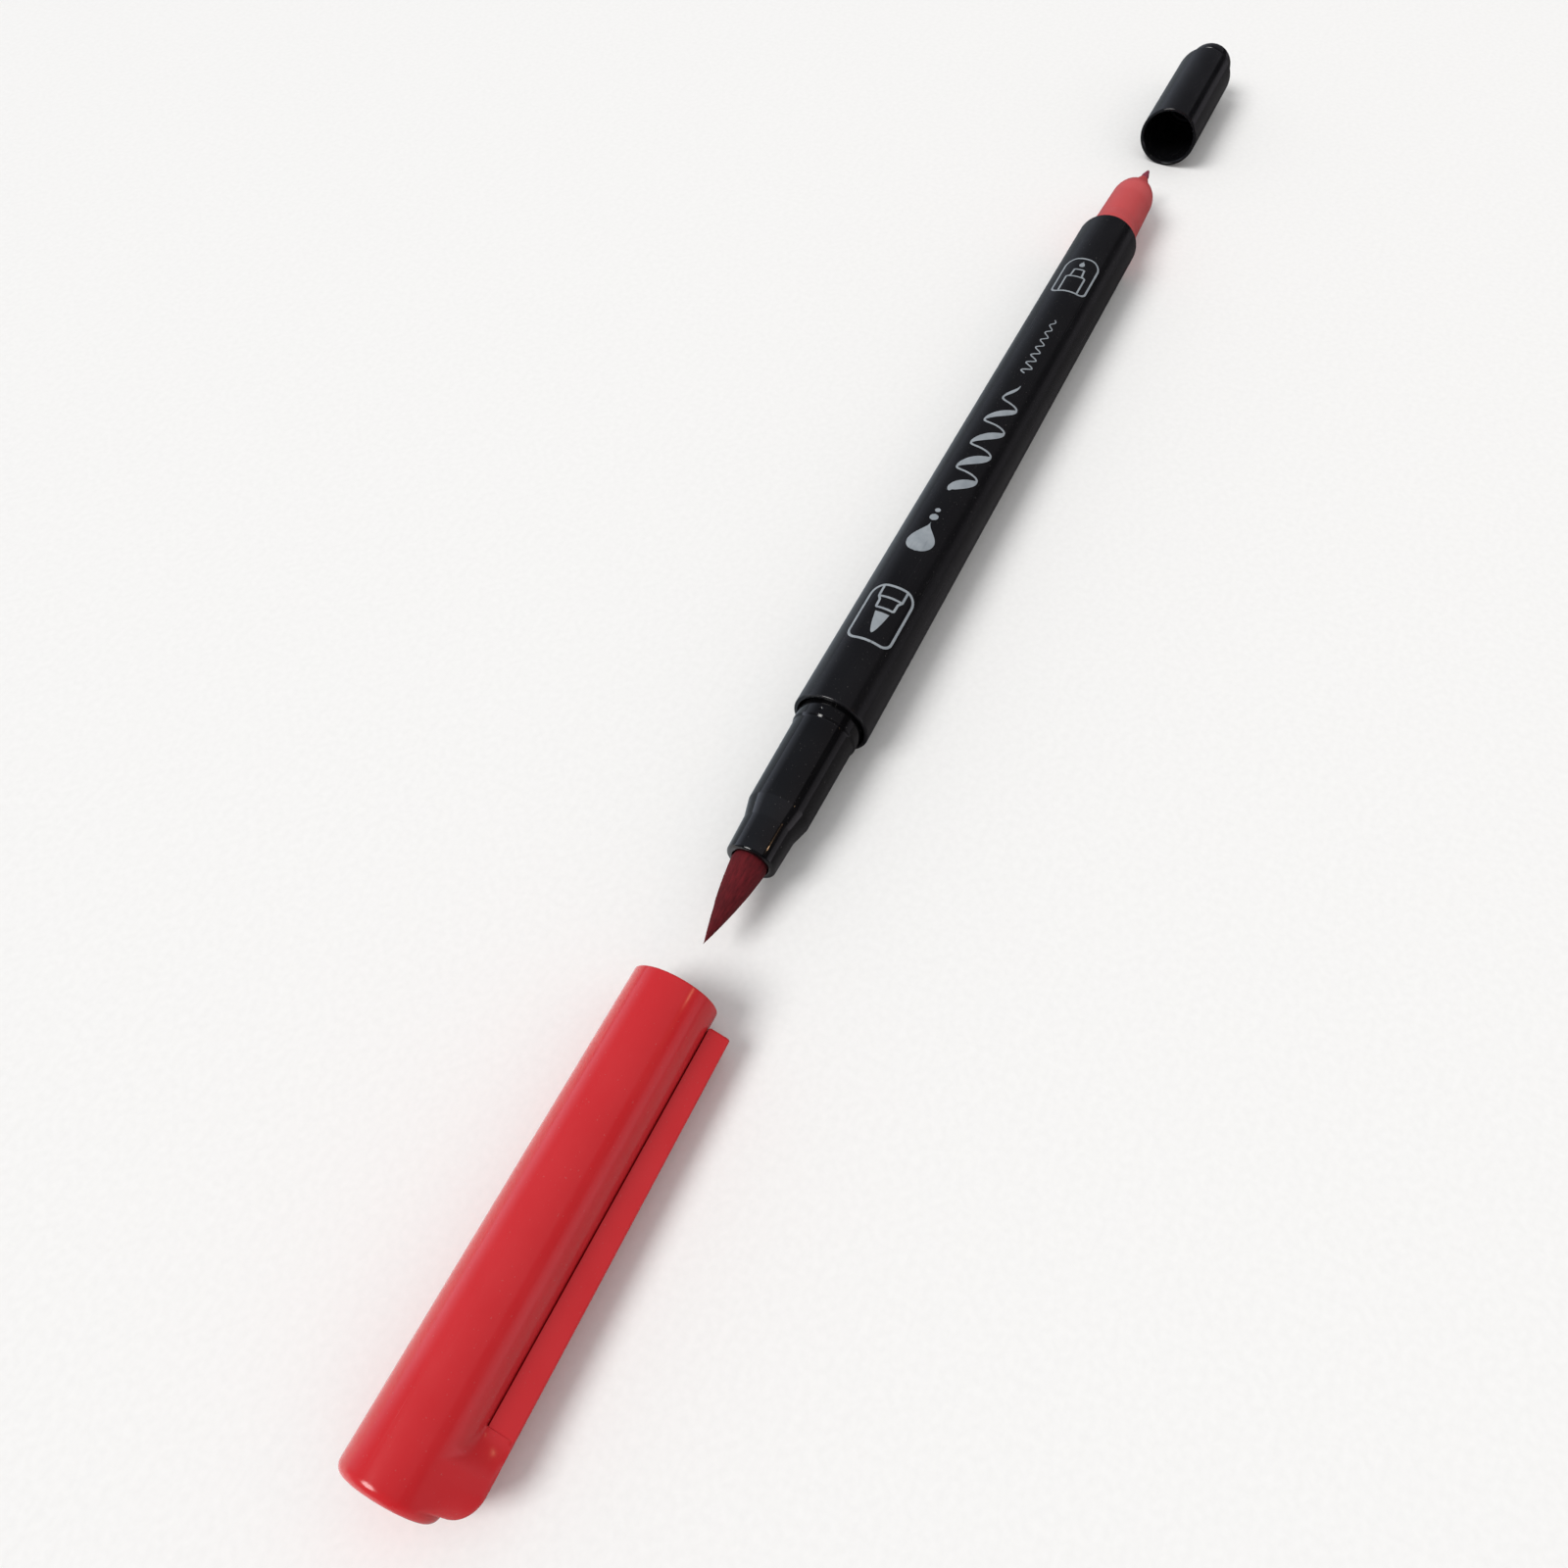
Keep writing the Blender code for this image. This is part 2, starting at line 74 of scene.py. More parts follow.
FINE_CAP_LOW, FINE_CAP_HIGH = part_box("fine_cap")
FINE_CAP_MOUTH = FINE_CAP_LOW.x
FINE_CAP_LENGTH = FINE_CAP_HIGH.x - FINE_CAP_LOW.x
BRUSH_TIP = BRUSH_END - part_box("brush_nib")[0].x
FINE_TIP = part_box("fine_nib")[1].x - FINE_END
JOINTS = {joint["name"]: joint for joint in frame["joints"]}
CLIP_HINGE = Vector(JOINTS["clip_flex"]["pos_m"])
CLIP_TURN = math.atan2(CLIP_HINGE.y, CLIP_HINGE.z)

# The visible skins lie just inside the frame's, which leaves room for the printed marks.
SKIN = BODY_RADIUS - 0.012 * MM
CAP_BORE = 4.35 * MM
BARREL_BORE = 4.3 * MM
INSERT_RADIUS = 4.15 * MM
LINER_RADIUS = 4.2 * MM
NIB_SHANK_RADIUS = 2.1 * MM
FINE_ROD_RADIUS = 0.65 * MM

# The mouths of the caps and the barrel are rounded alike, and open out by a small lead-in.
RIM_ROUND = 0.22 * MM
LEAD_IN = 0.22 * MM
LEAD_IN_ROUND = 0.06 * MM
LEAD_IN_DEPTH = 0.3 * MM
BORE_ROUND = 0.2 * MM

# Each section's insert sits inside the barrel, and its collar starts just outside the barrel.
END_GAP = 0.3 * MM
INSERT_STEP = 0.05 * MM


# --- shapes -----------------------------------------------------------------------------------

def rounded(corners, closed=False, steps=5):
    """Points through (along, radius, fillet) corners, each corner cut by an arc of its fillet."""
    spots = [Vector(corner[:2]) for corner in corners]
    points = []
    count = len(corners)
    for i, corner in enumerate(corners):
        fillet = corner[2] if len(corner) > 2 else 0
        if fillet == 0 or (not closed and i in (0, count - 1)):
            points.append(spots[i])
            continue
        back = spots[i - 1] - spots[i]
        ahead = spots[(i + 1) % count] - spots[i]
        room = 0.49 * min(back.length, ahead.length)
        opening = back.angle(ahead)
        reach = min(room, fillet / math.tan(opening / 2))
        fillet = reach * math.tan(opening / 2)
        middle = back.normalized() + ahead.normalized()
        centre = spots[i] + middle.normalized() * (fillet / math.sin(opening / 2))
        start = spots[i] + back.normalized() * reach - centre
        end = spots[i] + ahead.normalized() * reach - centre
        sweep = math.atan2(start.x * end.y - start.y * end.x, start.dot(end))
        for step in range(steps + 1):
            points.append(centre + Matrix.Rotation(sweep * step / steps, 2) @ start)
    return points


def subdivided(points, spacing, closed=False):
    """The same outline with extra points, so that no stretch is longer than spacing."""
    following = points[1:] + points[:1] if closed else points[1:]
    dense = []
    for near, far in zip(points, following):
        parts = max(1, math.ceil((far - near).length / spacing))
        dense += [near.lerp(far, part / parts) for part in range(parts)]
    return dense if closed else dense + [points[-1]]


def mesh_piece(name, verts, faces, material, sharp=40):
    """A smooth-shaded object with its faces pointing out."""
    mesh = bpy.data.meshes.new(name)
    mesh.from_pydata(verts, [], faces)
    bm = bmesh.new()
    bm.from_mesh(mesh)
    bmesh.ops.recalc_face_normals(bm, faces=bm.faces)
    if bm.calc_volume(signed=True) < 0:
        bmesh.ops.reverse_faces(bm, faces=bm.faces)
    bm.to_mesh(mesh)
    bm.free()
    mesh.shade_smooth()
    mesh.set_sharp_from_angle(angle=math.radians(sharp))
    mesh.materials.append(material)
    piece = bpy.data.objects.new(name, mesh)
    bpy.context.scene.collection.objects.link(piece)
    weights = piece.modifiers.new("flat faces lead", "WEIGHTED_NORMAL")
    weights.keep_sharp = True
    return piece


def lathe(name, outline, origin, way, material, closed=False, segments=128, reshape=None):
    """Turn an outline about the X axis, starting at origin and running in direction way.

    A closed outline makes a tube. An open one starts and ends on the axis. The reshape function
    gives a point's radius from its place along, its radius in the outline and its turn.
    """
    verts = []
    rings = []
    for along, radius in outline:
        x = origin + way * along
        if radius < 1e-7:
            rings.append([len(verts)])
            verts.append((x, 0, 0))
            continue
        rings.append(list(range(len(verts), len(verts) + segments)))
        for i in range(segments):
            turn = math.tau * i / segments
            reach = reshape(along, radius, turn) if reshape else radius
            verts.append((x, reach * math.sin(turn), reach * math.cos(turn)))
    faces = []
    following = rings[1:] + rings[:1] if closed else rings[1:]
    for near, far in zip(rings, following):
        for i in range(segments):
            j = (i + 1) % segments
            if len(near) == 1:
                faces.append((near[0], far[i], far[j]))
            elif len(far) == 1:
                faces.append((near[i], near[j], far[0]))
            else:
                faces.append((near[i], near[j], far[j], far[i]))
    return mesh_piece(name, verts, faces, material)


def settle(piece, body, slot, *nodes):
    """Join a piece to its body, in place of the frame's own solids. The slot is not used."""
    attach(piece, body)
    if nodes:
        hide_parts(*nodes)
    return piece


def smooth_max(a, b, blend):
    """The larger of two lengths, with the crossing between them rounded off."""
    share = max(blend - abs(a - b), 0) / blend
    return max(a, b) + share * share * blend / 4


def ease(value, low, high):
    """0 below low, 1 above high, and a smooth rise between them."""
    part = min(1, max(0, (value - low) / (high - low)))
    return part * part * (3 - 2 * part)


# --- materials --------------------------------------------------------------------------------

def add(tree, kind, inputs=None, **settings):
    """Add a node. An input given as a socket is linked, and any other input is set."""
    node = tree.nodes.new(kind)
    for key, value in settings.items():
        setattr(node, key, value)
    for key, value in (inputs or {}).items():
        if isinstance(value, bpy.types.NodeSocket):
            tree.links.new(value, node.inputs[key])
        else:
            node.inputs[key].default_value = value
    return node


def maths(tree, operation, *values):
    """A math node's result for up to three values or sockets."""
    return add(tree, "ShaderNodeMath", dict(enumerate(values)), operation=operation).outputs[0]


def start_material(name):
    """A new material's tree, its shader node and its coordinates in millimetres."""
    material = bpy.data.materials.new(name)
    material.use_nodes = True
    tree = material.node_tree
    place = add(tree, "ShaderNodeTexCoord").outputs["Object"]
    scale = {"Vector": place, "Scale": (1 / MM, 1 / MM, 1 / MM)}
    place = add(tree, "ShaderNodeMapping", scale).outputs[0]
    return material, tree, tree.nodes["Principled BSDF"], place


def stretched(tree, place, along, across):
    """Coordinates squeezed along the pen, which draw a pattern out into streaks."""
    return add(tree, "ShaderNodeMapping", {"Vector": place, "Scale": (along, across, across)}).outputs[0]


def noise_value(tree, place, scale, detail=2.0, roughness=0.5):
    """Noise from 0 to 1, at a scale in features per millimetre."""
    inputs = {"Vector": place, "Scale": scale, "Detail": detail, "Roughness": roughness}
    return add(tree, "ShaderNodeTexNoise", inputs).outputs["Fac"]


def band(tree, value, low, high, at_low=0.0, at_high=1.0):
    """Value moved from the range low..high to the range at_low..at_high, and held there."""
    inputs = {"Value": value, "From Min": low, "From Max": high, "To Min": at_low, "To Max": at_high}
    return add(tree, "ShaderNodeMapRange", inputs).outputs["Result"]


def mixed(tree, share, first, second):
    """A colour between two colours or sockets."""
    node = add(tree, "ShaderNodeMix", data_type="RGBA")
    for socket, value in zip((node.inputs[0], node.inputs[6], node.inputs[7]), (share, first, second)):
        if isinstance(value, bpy.types.NodeSocket):
            tree.links.new(value, socket)
        else:
            socket.default_value = value if socket == node.inputs[0] else (*value, 1)
    return node.outputs[2]


def bump(tree, height, distance, normal=None, strength=1.0):
    """A bump of a height map whose full height is distance."""
    inputs = {"Height": height, "Distance": distance, "Strength": strength}
    if normal:
        inputs["Normal"] = normal
    return add(tree, "ShaderNodeBump", inputs).outputs["Normal"]


def finish(tree, shader, **inputs):
    """Set or link the shader's inputs, whose names have underscores for spaces."""
    for key, value in inputs.items():
        socket = shader.inputs[key.replace("_", " ")]
        if isinstance(value, bpy.types.NodeSocket):
            tree.links.new(value, socket)
        else:
            socket.default_value = value


def plastic(name, colour, worn, roughness, spread, streaks, glow=0.0):
    """Moulded plastic: handling smears, lengthwise scuffs, specks of dust and paler edges.

    Smears raise the roughness by up to spread, streaks sets how deep the scuffs are, and glow is
    the share of light that scatters inside.
    """
    material, tree, shader, place = start_material(name)
    cloud = noise_value(tree, place, 0.16, 4)
    smear = noise_value(tree, stretched(tree, place, 0.12, 0.6), 1.0, 3)
    scuff = noise_value(tree, stretched(tree, place, 0.05, 3.0), 1.0, 3)
    scuff = band(tree, scuff, 0.62, 0.74)
    peel = noise_value(tree, place, 2.4, 2)
    grain = noise_value(tree, place, 16.0, 2)
    edge = add(tree, "ShaderNodeNewGeometry").outputs["Pointiness"]
    edge = band(tree, edge, 0.53, 0.62)
    rubbed = maths(tree, "MULTIPLY", edge, band(tree, cloud, 0.35, 0.6, 0.25, 0.9))
    tint = mixed(tree, band(tree, cloud, 0.3, 0.7, 0, 0.35), colour, worn)
    tint = mixed(tree, rubbed, tint, worn)
    specks = band(tree, noise_value(tree, place, 5.0, 0), 0.79, 0.85, 0, 0.14)
    tint = mixed(tree, specks, tint, (0.30, 0.29, 0.27))
    gloss = band(tree, smear, 0.3, 0.72, roughness, roughness + spread)
    gloss = maths(tree, "MULTIPLY_ADD", scuff, spread * streaks, gloss)
    relief = bump(tree, peel, 0.0016 * MM)
    relief = bump(tree, grain, 0.00025 * MM, relief)
    relief = bump(tree, scuff, 0.0008 * MM * streaks, relief)
    finish(tree, shader, Base_Color=tint, Roughness=gloss, Normal=relief, IOR=1.49)
    if glow:
        radius = tuple(0.25 + 0.75 * part for part in worn)
        finish(tree, shader, Subsurface_Weight=glow, Subsurface_Scale=0.9 * MM, Subsurface_Radius=radius)
    return material


def fibre(name, dark, light, roughness, strand, depth, soft):
    """Bonded fibres that run along the pen: streaked colour, matt nap and fine ridges.

    Strand is how many fibres lie across a millimetre, depth is the height of their ridges and soft
    is the strength of the nap's sheen.
    """
    material, tree, shader, place = start_material(name)
    strands = noise_value(tree, stretched(tree, place, 0.18, 1.0), strand, 4, 0.65)
    tufts = noise_value(tree, stretched(tree, place, 0.35, 1.0), strand * 0.3, 3)
    soak = noise_value(tree, place, 0.35, 3)
    nap = noise_value(tree, place, 14.0, 3, 0.7)
    share = maths(tree, "ADD", band(tree, strands, 0.32, 0.68, 0, 0.6), band(tree, nap, 0.3, 0.7, 0, 0.25))
    share = maths(tree, "MULTIPLY", share, band(tree, soak, 0.3, 0.65, 0.6, 1.1))
    tint = mixed(tree, share, dark, light)
    relief = bump(tree, tufts, 2.0 * depth)
    relief = bump(tree, strands, depth, relief)
    relief = bump(tree, nap, 0.35 * depth, relief)
    rough = band(tree, nap, 0.2, 0.8, roughness - 0.08, roughness + 0.08)
    finish(tree, shader, Base_Color=tint, Roughness=rough, Normal=relief, Specular_IOR_Level=0.25)
    finish(tree, shader, Sheen_Weight=soft, Sheen_Roughness=0.45, Sheen_Tint=(*light, 1))
    return material


def printed_ink():
    """Pad-printed marks: pale grey-blue, thin in places, with pinholes and a matt surface."""
    material, tree, shader, place = start_material("printed_ink")
    patches = noise_value(tree, place, 0.9, 4)
    pores = noise_value(tree, place, 9.0, 2)
    rubs = noise_value(tree, stretched(tree, place, 0.1, 2.5), 1.0, 3)
    pinholes = band(tree, pores, 0.70, 0.76, 0, 0.6)
    thin = maths(tree, "MAXIMUM", pinholes, band(tree, rubs, 0.64, 0.78, 0, 0.5))
    tint = mixed(tree, band(tree, patches, 0.3, 0.7), (0.235, 0.265, 0.295), (0.30, 0.33, 0.36))
    tint = mixed(tree, thin, tint, (0.05, 0.055, 0.06))
    relief = bump(tree, pores, 0.002 * MM)
    rough = band(tree, patches, 0.3, 0.7, 0.42, 0.58)
    finish(tree, shader, Base_Color=tint, Roughness=rough, Normal=relief)
    return material


def liner_plastic(name, dark, light, glow):
    """Soft polyethylene: satin, slightly milky, with rings left by the turned mould core."""
    material, tree, shader, place = start_material(name)
    cloud = noise_value(tree, place, 0.5, 4)
    rings = noise_value(tree, stretched(tree, place, 5.0, 0.02), 1.0, 3)
    pits = noise_value(tree, place, 7.0, 3)
    tint = mixed(tree, band(tree, cloud, 0.3, 0.7), dark, light)
    relief = bump(tree, rings, 0.003 * MM)
    relief = bump(tree, pits, 0.0015 * MM, relief)
    rough = band(tree, cloud, 0.3, 0.7, 0.34, 0.5)
    finish(tree, shader, Base_Color=tint, Roughness=rough, Normal=relief)
    finish(tree, shader, Subsurface_Weight=glow, Subsurface_Scale=0.8 * MM, Subsurface_Radius=(1, 0.9, 0.8))
    return material


def clear_film():
    """Thin wrapped film: mostly clear, with soft wrinkles and ink haze inside."""
    material, tree, shader, place = start_material("clear_film")
    wrinkles = noise_value(tree, stretched(tree, place, 0.12, 0.9), 1.0, 4)
    haze = noise_value(tree, place, 0.3, 3)
    tint = mixed(tree, band(tree, haze, 0.35, 0.65), (0.86, 0.8, 0.8), (0.75, 0.5, 0.5))
    relief = bump(tree, wrinkles, 0.04 * MM)
    rough = band(tree, haze, 0.3, 0.7, 0.08, 0.25)
    finish(tree, shader, Base_Color=tint, Roughness=rough, Normal=relief, Transmission_Weight=0.8)
    return material


BARREL_BLACK = plastic(
    "barrel_black", (0.0052, 0.005, 0.006), (0.011, 0.0112, 0.0125),
    roughness=0.14, spread=0.12, streaks=0.9)
SECTION_BLACK = plastic(
    "section_black", (0.0022, 0.0021, 0.0025), (0.008, 0.008, 0.0088),
    roughness=0.045, spread=0.07, streaks=0.9)
CAP_BLACK = plastic(
    "cap_black", (0.0032, 0.0032, 0.0039), (0.010, 0.010, 0.0115),
    roughness=0.08, spread=0.09, streaks=0.9)
CAP_RED = plastic(
    "cap_red", (0.54, 0.0165, 0.0215), (0.60, 0.032, 0.038),
    roughness=0.14, spread=0.09, streaks=0.8, glow=0.06)
CORAL = plastic(
    "coral", (0.53, 0.067, 0.070), (0.58, 0.094, 0.096),
    roughness=0.34, spread=0.08, streaks=0.4, glow=0.12)
BRUSH_FIBRE = fibre(
    "brush_fibre", (0.055, 0.0022, 0.0048), (0.165, 0.009, 0.015),
    roughness=0.85, strand=3.2, depth=0.02 * MM, soft=0.08)
FINE_FIBRE = fibre(
    "fine_fibre", (0.17, 0.022, 0.045), (0.32, 0.065, 0.095),
    roughness=0.6, strand=6.0, depth=0.006 * MM, soft=0.1)
WADDING = fibre(
    "ink_wadding", (0.22, 0.008, 0.012), (0.55, 0.06, 0.07),
    roughness=0.92, strand=2.2, depth=0.05 * MM, soft=0.5)
LINER_NATURAL = liner_plastic("liner_natural", (0.62, 0.61, 0.58), (0.78, 0.77, 0.74), glow=0.2)
LINER_BLACK = liner_plastic("liner_black", (0.010, 0.0105, 0.012), (0.022, 0.024, 0.028), glow=0.0)
FILM = clear_film()
INK = printed_ink()


# --- the pen ----------------------------------------------------------------------------------
# Places along a section or a nib are measured outwards from its end of the barrel.

def add_barrel():
    """The straight tube, open at both ends, whose rims show as thin rings round the sections."""
    half = (FINE_END - BRUSH_END) / 2
    lead_in = BARREL_BORE + LEAD_IN
    corners = [
        (-half, lead_in, LEAD_IN_ROUND),
        (-half, SKIN, RIM_ROUND),
        (half, SKIN, RIM_ROUND),
        (half, lead_in, LEAD_IN_ROUND),
        (half - LEAD_IN_DEPTH, BARREL_BORE, BORE_ROUND),
        (-half + LEAD_IN_DEPTH, BARREL_BORE, BORE_ROUND),
    ]
    outline = subdivided(rounded(corners, closed=True), 6 * MM, closed=True)
    piece = lathe("barrel_tube", outline, BARREL_MIDDLE, 1, BARREL_BLACK, closed=True, segments=160)
    settle(piece, "pen", "barrel_black", "barrel")


def add_brush_section():
    """The glossy black front end, with a small round dimple in its collar."""
    insert = -14.0 * MM
    collar = 4.2 * MM
    wide_bore = 3.3 * MM
    nose = 21.4 * MM
    nose_bore = 2.3 * MM
    dimple = Vector((1.15 * MM, 0.8 * MM))
    dimple_radius = 0.24 * MM
    dimple_depth = 0.12 * MM

    def dimpled(along, radius, turn):
        """Sink the skin inside the dimple, which is measured round the collar from its top."""
        if radius < collar - 0.1 * MM or turn > 1:
            return radius
        away = (Vector((along, collar * turn)) - dimple).length / dimple_radius
        return radius - dimple_depth * (1 - ease(away, 0.35, 1.0))

    corners = [
        (insert, wide_bore, 0.1 * MM),
        (insert, INSERT_RADIUS, 0.3 * MM),
        (END_GAP - INSERT_STEP, INSERT_RADIUS),
        (END_GAP, collar, 0.05 * MM),
        (1.95 * MM, collar, 0.12 * MM),
        (2.3 * MM, 4.03 * MM, 0.3 * MM),
        (14.2 * MM, 3.88 * MM, 0.7 * MM),
        (16.6 * MM, 3.26 * MM, 0.9 * MM),
        (nose, 3.08 * MM, 0.62 * MM),
        (nose, nose_bore, 0.12 * MM),
        (16.4 * MM, nose_bore, 0.2 * MM),
        (14.0 * MM, wide_bore, 0.4 * MM),
    ]
    outline = []
    bare = rounded(corners, closed=True, steps=7)
    for near, far in zip(bare, bare[1:] + bare[:1]):
        on_collar = min(near.x, far.x) > 0.2 * MM and max(near.x, far.x) < 2.0 * MM
        outline += subdivided([near, far], (0.06 if on_collar else 1.5) * MM)[:-1]
    fine = {"segments": 288, "reshape": dimpled}
    piece = lathe("brush_grip", outline, BRUSH_END, -1, SECTION_BLACK, closed=True, **fine)
    settle(piece, "pen", "section_black", "brush_section")


def brush_radius(along):
    """The soft tip's radius: a full, slightly bowed cone that starts a little outside the nose."""
    base = 21.95 * MM
    base_radius = 2.2 * MM
    bow = 0.45
    part = max(0, (along - base) / (BRUSH_TIP - base))
    return base_radius * (1 - part) * (1 + bow * part)


def add_brush():
    """The bonded-fibre tip and its shank in one piece."""
    seed = Vector((3.1, 7.7, 1.9))

    def ridged(along, radius, turn):
        """Fine lengthwise ridges, deepest at the base, and a small worn step on the far side."""
        spot = Vector((along / (9 * MM), 7 * math.sin(turn), 7 * math.cos(turn))) + seed
        fine = Vector((along / (3 * MM), 19 * math.sin(turn), 19 * math.cos(turn))) + seed
        depth = 0.035 * MM * min(1, radius / (1.2 * MM))
        worn = ease(along, 27.4 * MM, 27.9 * MM) * max(0, math.sin(turn)) ** 2
        ripple = depth * (noise.noise(spot) + 0.5 * noise.noise(fine)) - 0.05 * MM * worn
        return max(0.01 * MM, radius + ripple - depth)

    shank_start = -19.0 * MM
    shank_end = 21.2 * MM
    soft_start = 21.3 * MM
    soft_end = BRUSH_TIP - 0.03 * MM
    shank = [(shank_start, 0), (shank_start, NIB_SHANK_RADIUS, 0.25 * MM), (shank_end, NIB_SHANK_RADIUS)]
    outline = subdivided(rounded(shank), 2 * MM)
    steps = 70
    for i in range(1, steps):
        closer = 1 - (1 - i / steps) ** 1.25
        along = soft_start + (soft_end - soft_start) * closer
        outline.append(Vector((along, brush_radius(along))))
    outline.append(Vector((BRUSH_TIP, 0)))
    piece = lathe("brush_fibres", outline, BRUSH_END, -1, BRUSH_FIBRE, segments=192, reshape=ridged)
    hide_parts("brush_nib", "brush_nib_shank")
    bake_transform(piece)


def add_fine_section():
    """The coral front end: collar, waisted grip, domed shoulder and slim nozzle."""
    insert = -12.0 * MM
    collar = 4.1 * MM
    wide_bore = 3.0 * MM
    base = [
        (insert, wide_bore, 0.1 * MM),
        (insert, INSERT_RADIUS, 0.3 * MM),
        (END_GAP - INSERT_STEP, INSERT_RADIUS),
        (END_GAP, collar, 0.05 * MM),
        (2.2 * MM, collar, 0.5 * MM),
        (4.6 * MM, 3.79 * MM, 1.2 * MM),
        (13.0 * MM, 3.56 * MM, 0.8 * MM),
    ]
    dome_start = 13.4 * MM
    dome_length = 4.3 * MM
    dome_foot = 1.77 * MM
    dome_rise = 1.78 * MM
    steps = 12
    dome = []
    for i in range(1, steps):
        part = i / steps
        dome.append((dome_start + dome_length * part, dome_foot + dome_rise * (1 - part**2)))
    nozzle_end = 20.6 * MM
    nozzle_bore = 0.70 * MM
    front = [
        (17.9 * MM, 1.75 * MM, 0.9 * MM),
        (nozzle_end, 0.86 * MM, 0.1 * MM),
        (nozzle_end, nozzle_bore, 0.04 * MM),
        (17.8 * MM, nozzle_bore, 0.1 * MM),
        (dome_start, wide_bore, 0.3 * MM),
    ]
    outline = subdivided(rounded(base + dome + front, closed=True), 1.5 * MM, closed=True)
    piece = lathe("fine_grip", outline, FINE_END, 1, CORAL, closed=True, segments=160)
    settle(piece, "pen", "section_coral", "fine_section")


def add_fine_point():
    """The hard fibre rod with its rounded writing point."""
    rod_start = -17.0 * MM
    corners = [
        (rod_start, 0),
        (rod_start, FINE_ROD_RADIUS, 0.12 * MM),
        (21.9 * MM, FINE_ROD_RADIUS, 0.8 * MM),
        (FINE_TIP - 0.32 * MM, 0.29 * MM, 0.2 * MM),
        (FINE_TIP - 0.02 * MM, 0.16 * MM, 0.12 * MM),
        (FINE_TIP, 0),
    ]
    outline = subdivided(rounded(corners, steps=6), 1.0 * MM)
    piece = lathe("fine_point", outline, FINE_END, 1, FINE_FIBRE, segments=64)
    settle(piece, "pen", "fine_fibre", "fine_nib")


def add_wadding():
    """The crimped wadding that holds the ink, hidden inside the barrel."""
    low, high = (corner.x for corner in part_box("ink_reservoir"))
    length = high - low
    seed = Vector((5.3, 0.4, 8.8))

    def crimped(along, radius, turn):
        """Bundles of crimped fibre that stand out along the wadding."""
        swirl = turn + 0.25 * math.sin(along / (4 * MM))
        spot = Vector((along / (5 * MM), 5 * math.sin(swirl), 5 * math.cos(swirl))) + seed
        return radius + 0.10 * MM * noise.noise(spot) if radius > 3 * MM else radius

    wadding_radius = 3.65 * MM
    brush_hole = NIB_SHANK_RADIUS + 0.15 * MM
    fine_hole = FINE_ROD_RADIUS + 0.15 * MM
    depth = 5.0 * MM
    corners = [
        (depth, 0),
        (depth, brush_hole, 0.1 * MM),
        (0, brush_hole, 0.1 * MM),
        (0, wadding_radius, 0.4 * MM),
        (length, wadding_radius, 0.4 * MM),
        (length, fine_hole, 0.1 * MM),
        (length - depth, fine_hole, 0.1 * MM),
        (length - depth, 0),
    ]
    outline = subdivided(rounded(corners), 0.8 * MM)
    piece = lathe("ink_wadding", outline, low, 1, WADDING, segments=96, reshape=crimped)
    settle(piece, "pen", "wadding", "ink_reservoir")


def add_film():
    """The clear film sleeve wrapped round the wadding."""
    low, high = (corner.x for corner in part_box("reservoir_film"))

    def wrapped(along, radius, turn):
        """A lengthwise overlap seam and slack wrinkles in the film."""
        seam = 0.06 * MM * math.exp(-(((turn - math.pi) / 0.09) ** 2))
        slack = 0.03 * MM * noise.noise(Vector((along / (9 * MM), 3 * math.sin(turn), 3 * math.cos(turn))))
        return radius - 0.05 * MM + seam + slack

    inner = 3.9 * MM
    outer = 4.05 * MM
    corners = [(0, inner, 0.02 * MM), (0, outer, 0.05 * MM)]
    corners += [(high - low, outer, 0.05 * MM), (high - low, inner, 0.02 * MM)]
    outline = subdivided(rounded(corners, closed=True), 1.5 * MM, closed=True)
    piece = lathe("film_sleeve", outline, low, 1, FILM, closed=True, segments=96, reshape=wrapped)
    settle(piece, "pen", "film", "reservoir_film")


# --- printed marks ----------------------------------------------------------------------------
# A spot on the barrel is (along, across): along from its middle, and across from its top line.

INK_LIFT = 0.008 * MM
INK_SINK = 0.02 * MM
INK_STEP = 0.16 * MM
THINNEST_INK = 0.012 * MM


def on_barrel(spot, lift):
    """A flat (along, across) spot wrapped round the barrel, with across measured from its top."""
    turn = spot.y / SKIN
    reach = SKIN + lift
    return (BARREL_MIDDLE + spot.x, reach * math.sin(turn), reach * math.cos(turn))


def ribbon(verts, faces, spine, half_widths, closed=False):
    """Add a thin solid stroke that follows a spine of spots on the barrel."""
    count = len(spine)
    lanes = max(2, math.ceil(2 * max(half_widths) / INK_STEP))
    rows = []
    for i, spot in enumerate(spine):
        near = spine[i - 1] if closed or i else spot
        far = spine[(i + 1) % count] if closed or i < count - 1 else spot
        heading = (far - near).normalized()
        side = Vector((-heading.y, heading.x)) * half_widths[i]
        row = []
        for lift in (INK_LIFT, -INK_SINK):
            for lane in range(lanes + 1):
                row.append(len(verts))
                verts.append(on_barrel(spot + side * (2 * lane / lanes - 1), lift))
        rows.append(row)
    ring = list(range(lanes + 1)) + list(range(2 * lanes + 1, lanes, -1))
    pairs = list(zip(rows, rows[1:] + rows[:1])) if closed else list(zip(rows, rows[1:]))
    for near, far in pairs:
        for a, b in zip(ring, ring[1:] + ring[:1]):
            faces.append((near[a], near[b], far[b], far[a]))
    if not closed:
        for row in (rows[0], rows[-1]):
            for lane in range(lanes):
                upper = row[lane], row[lane + 1]
                lower = row[lanes + 2 + lane], row[lanes + 1 + lane]
                faces.append(upper + lower)


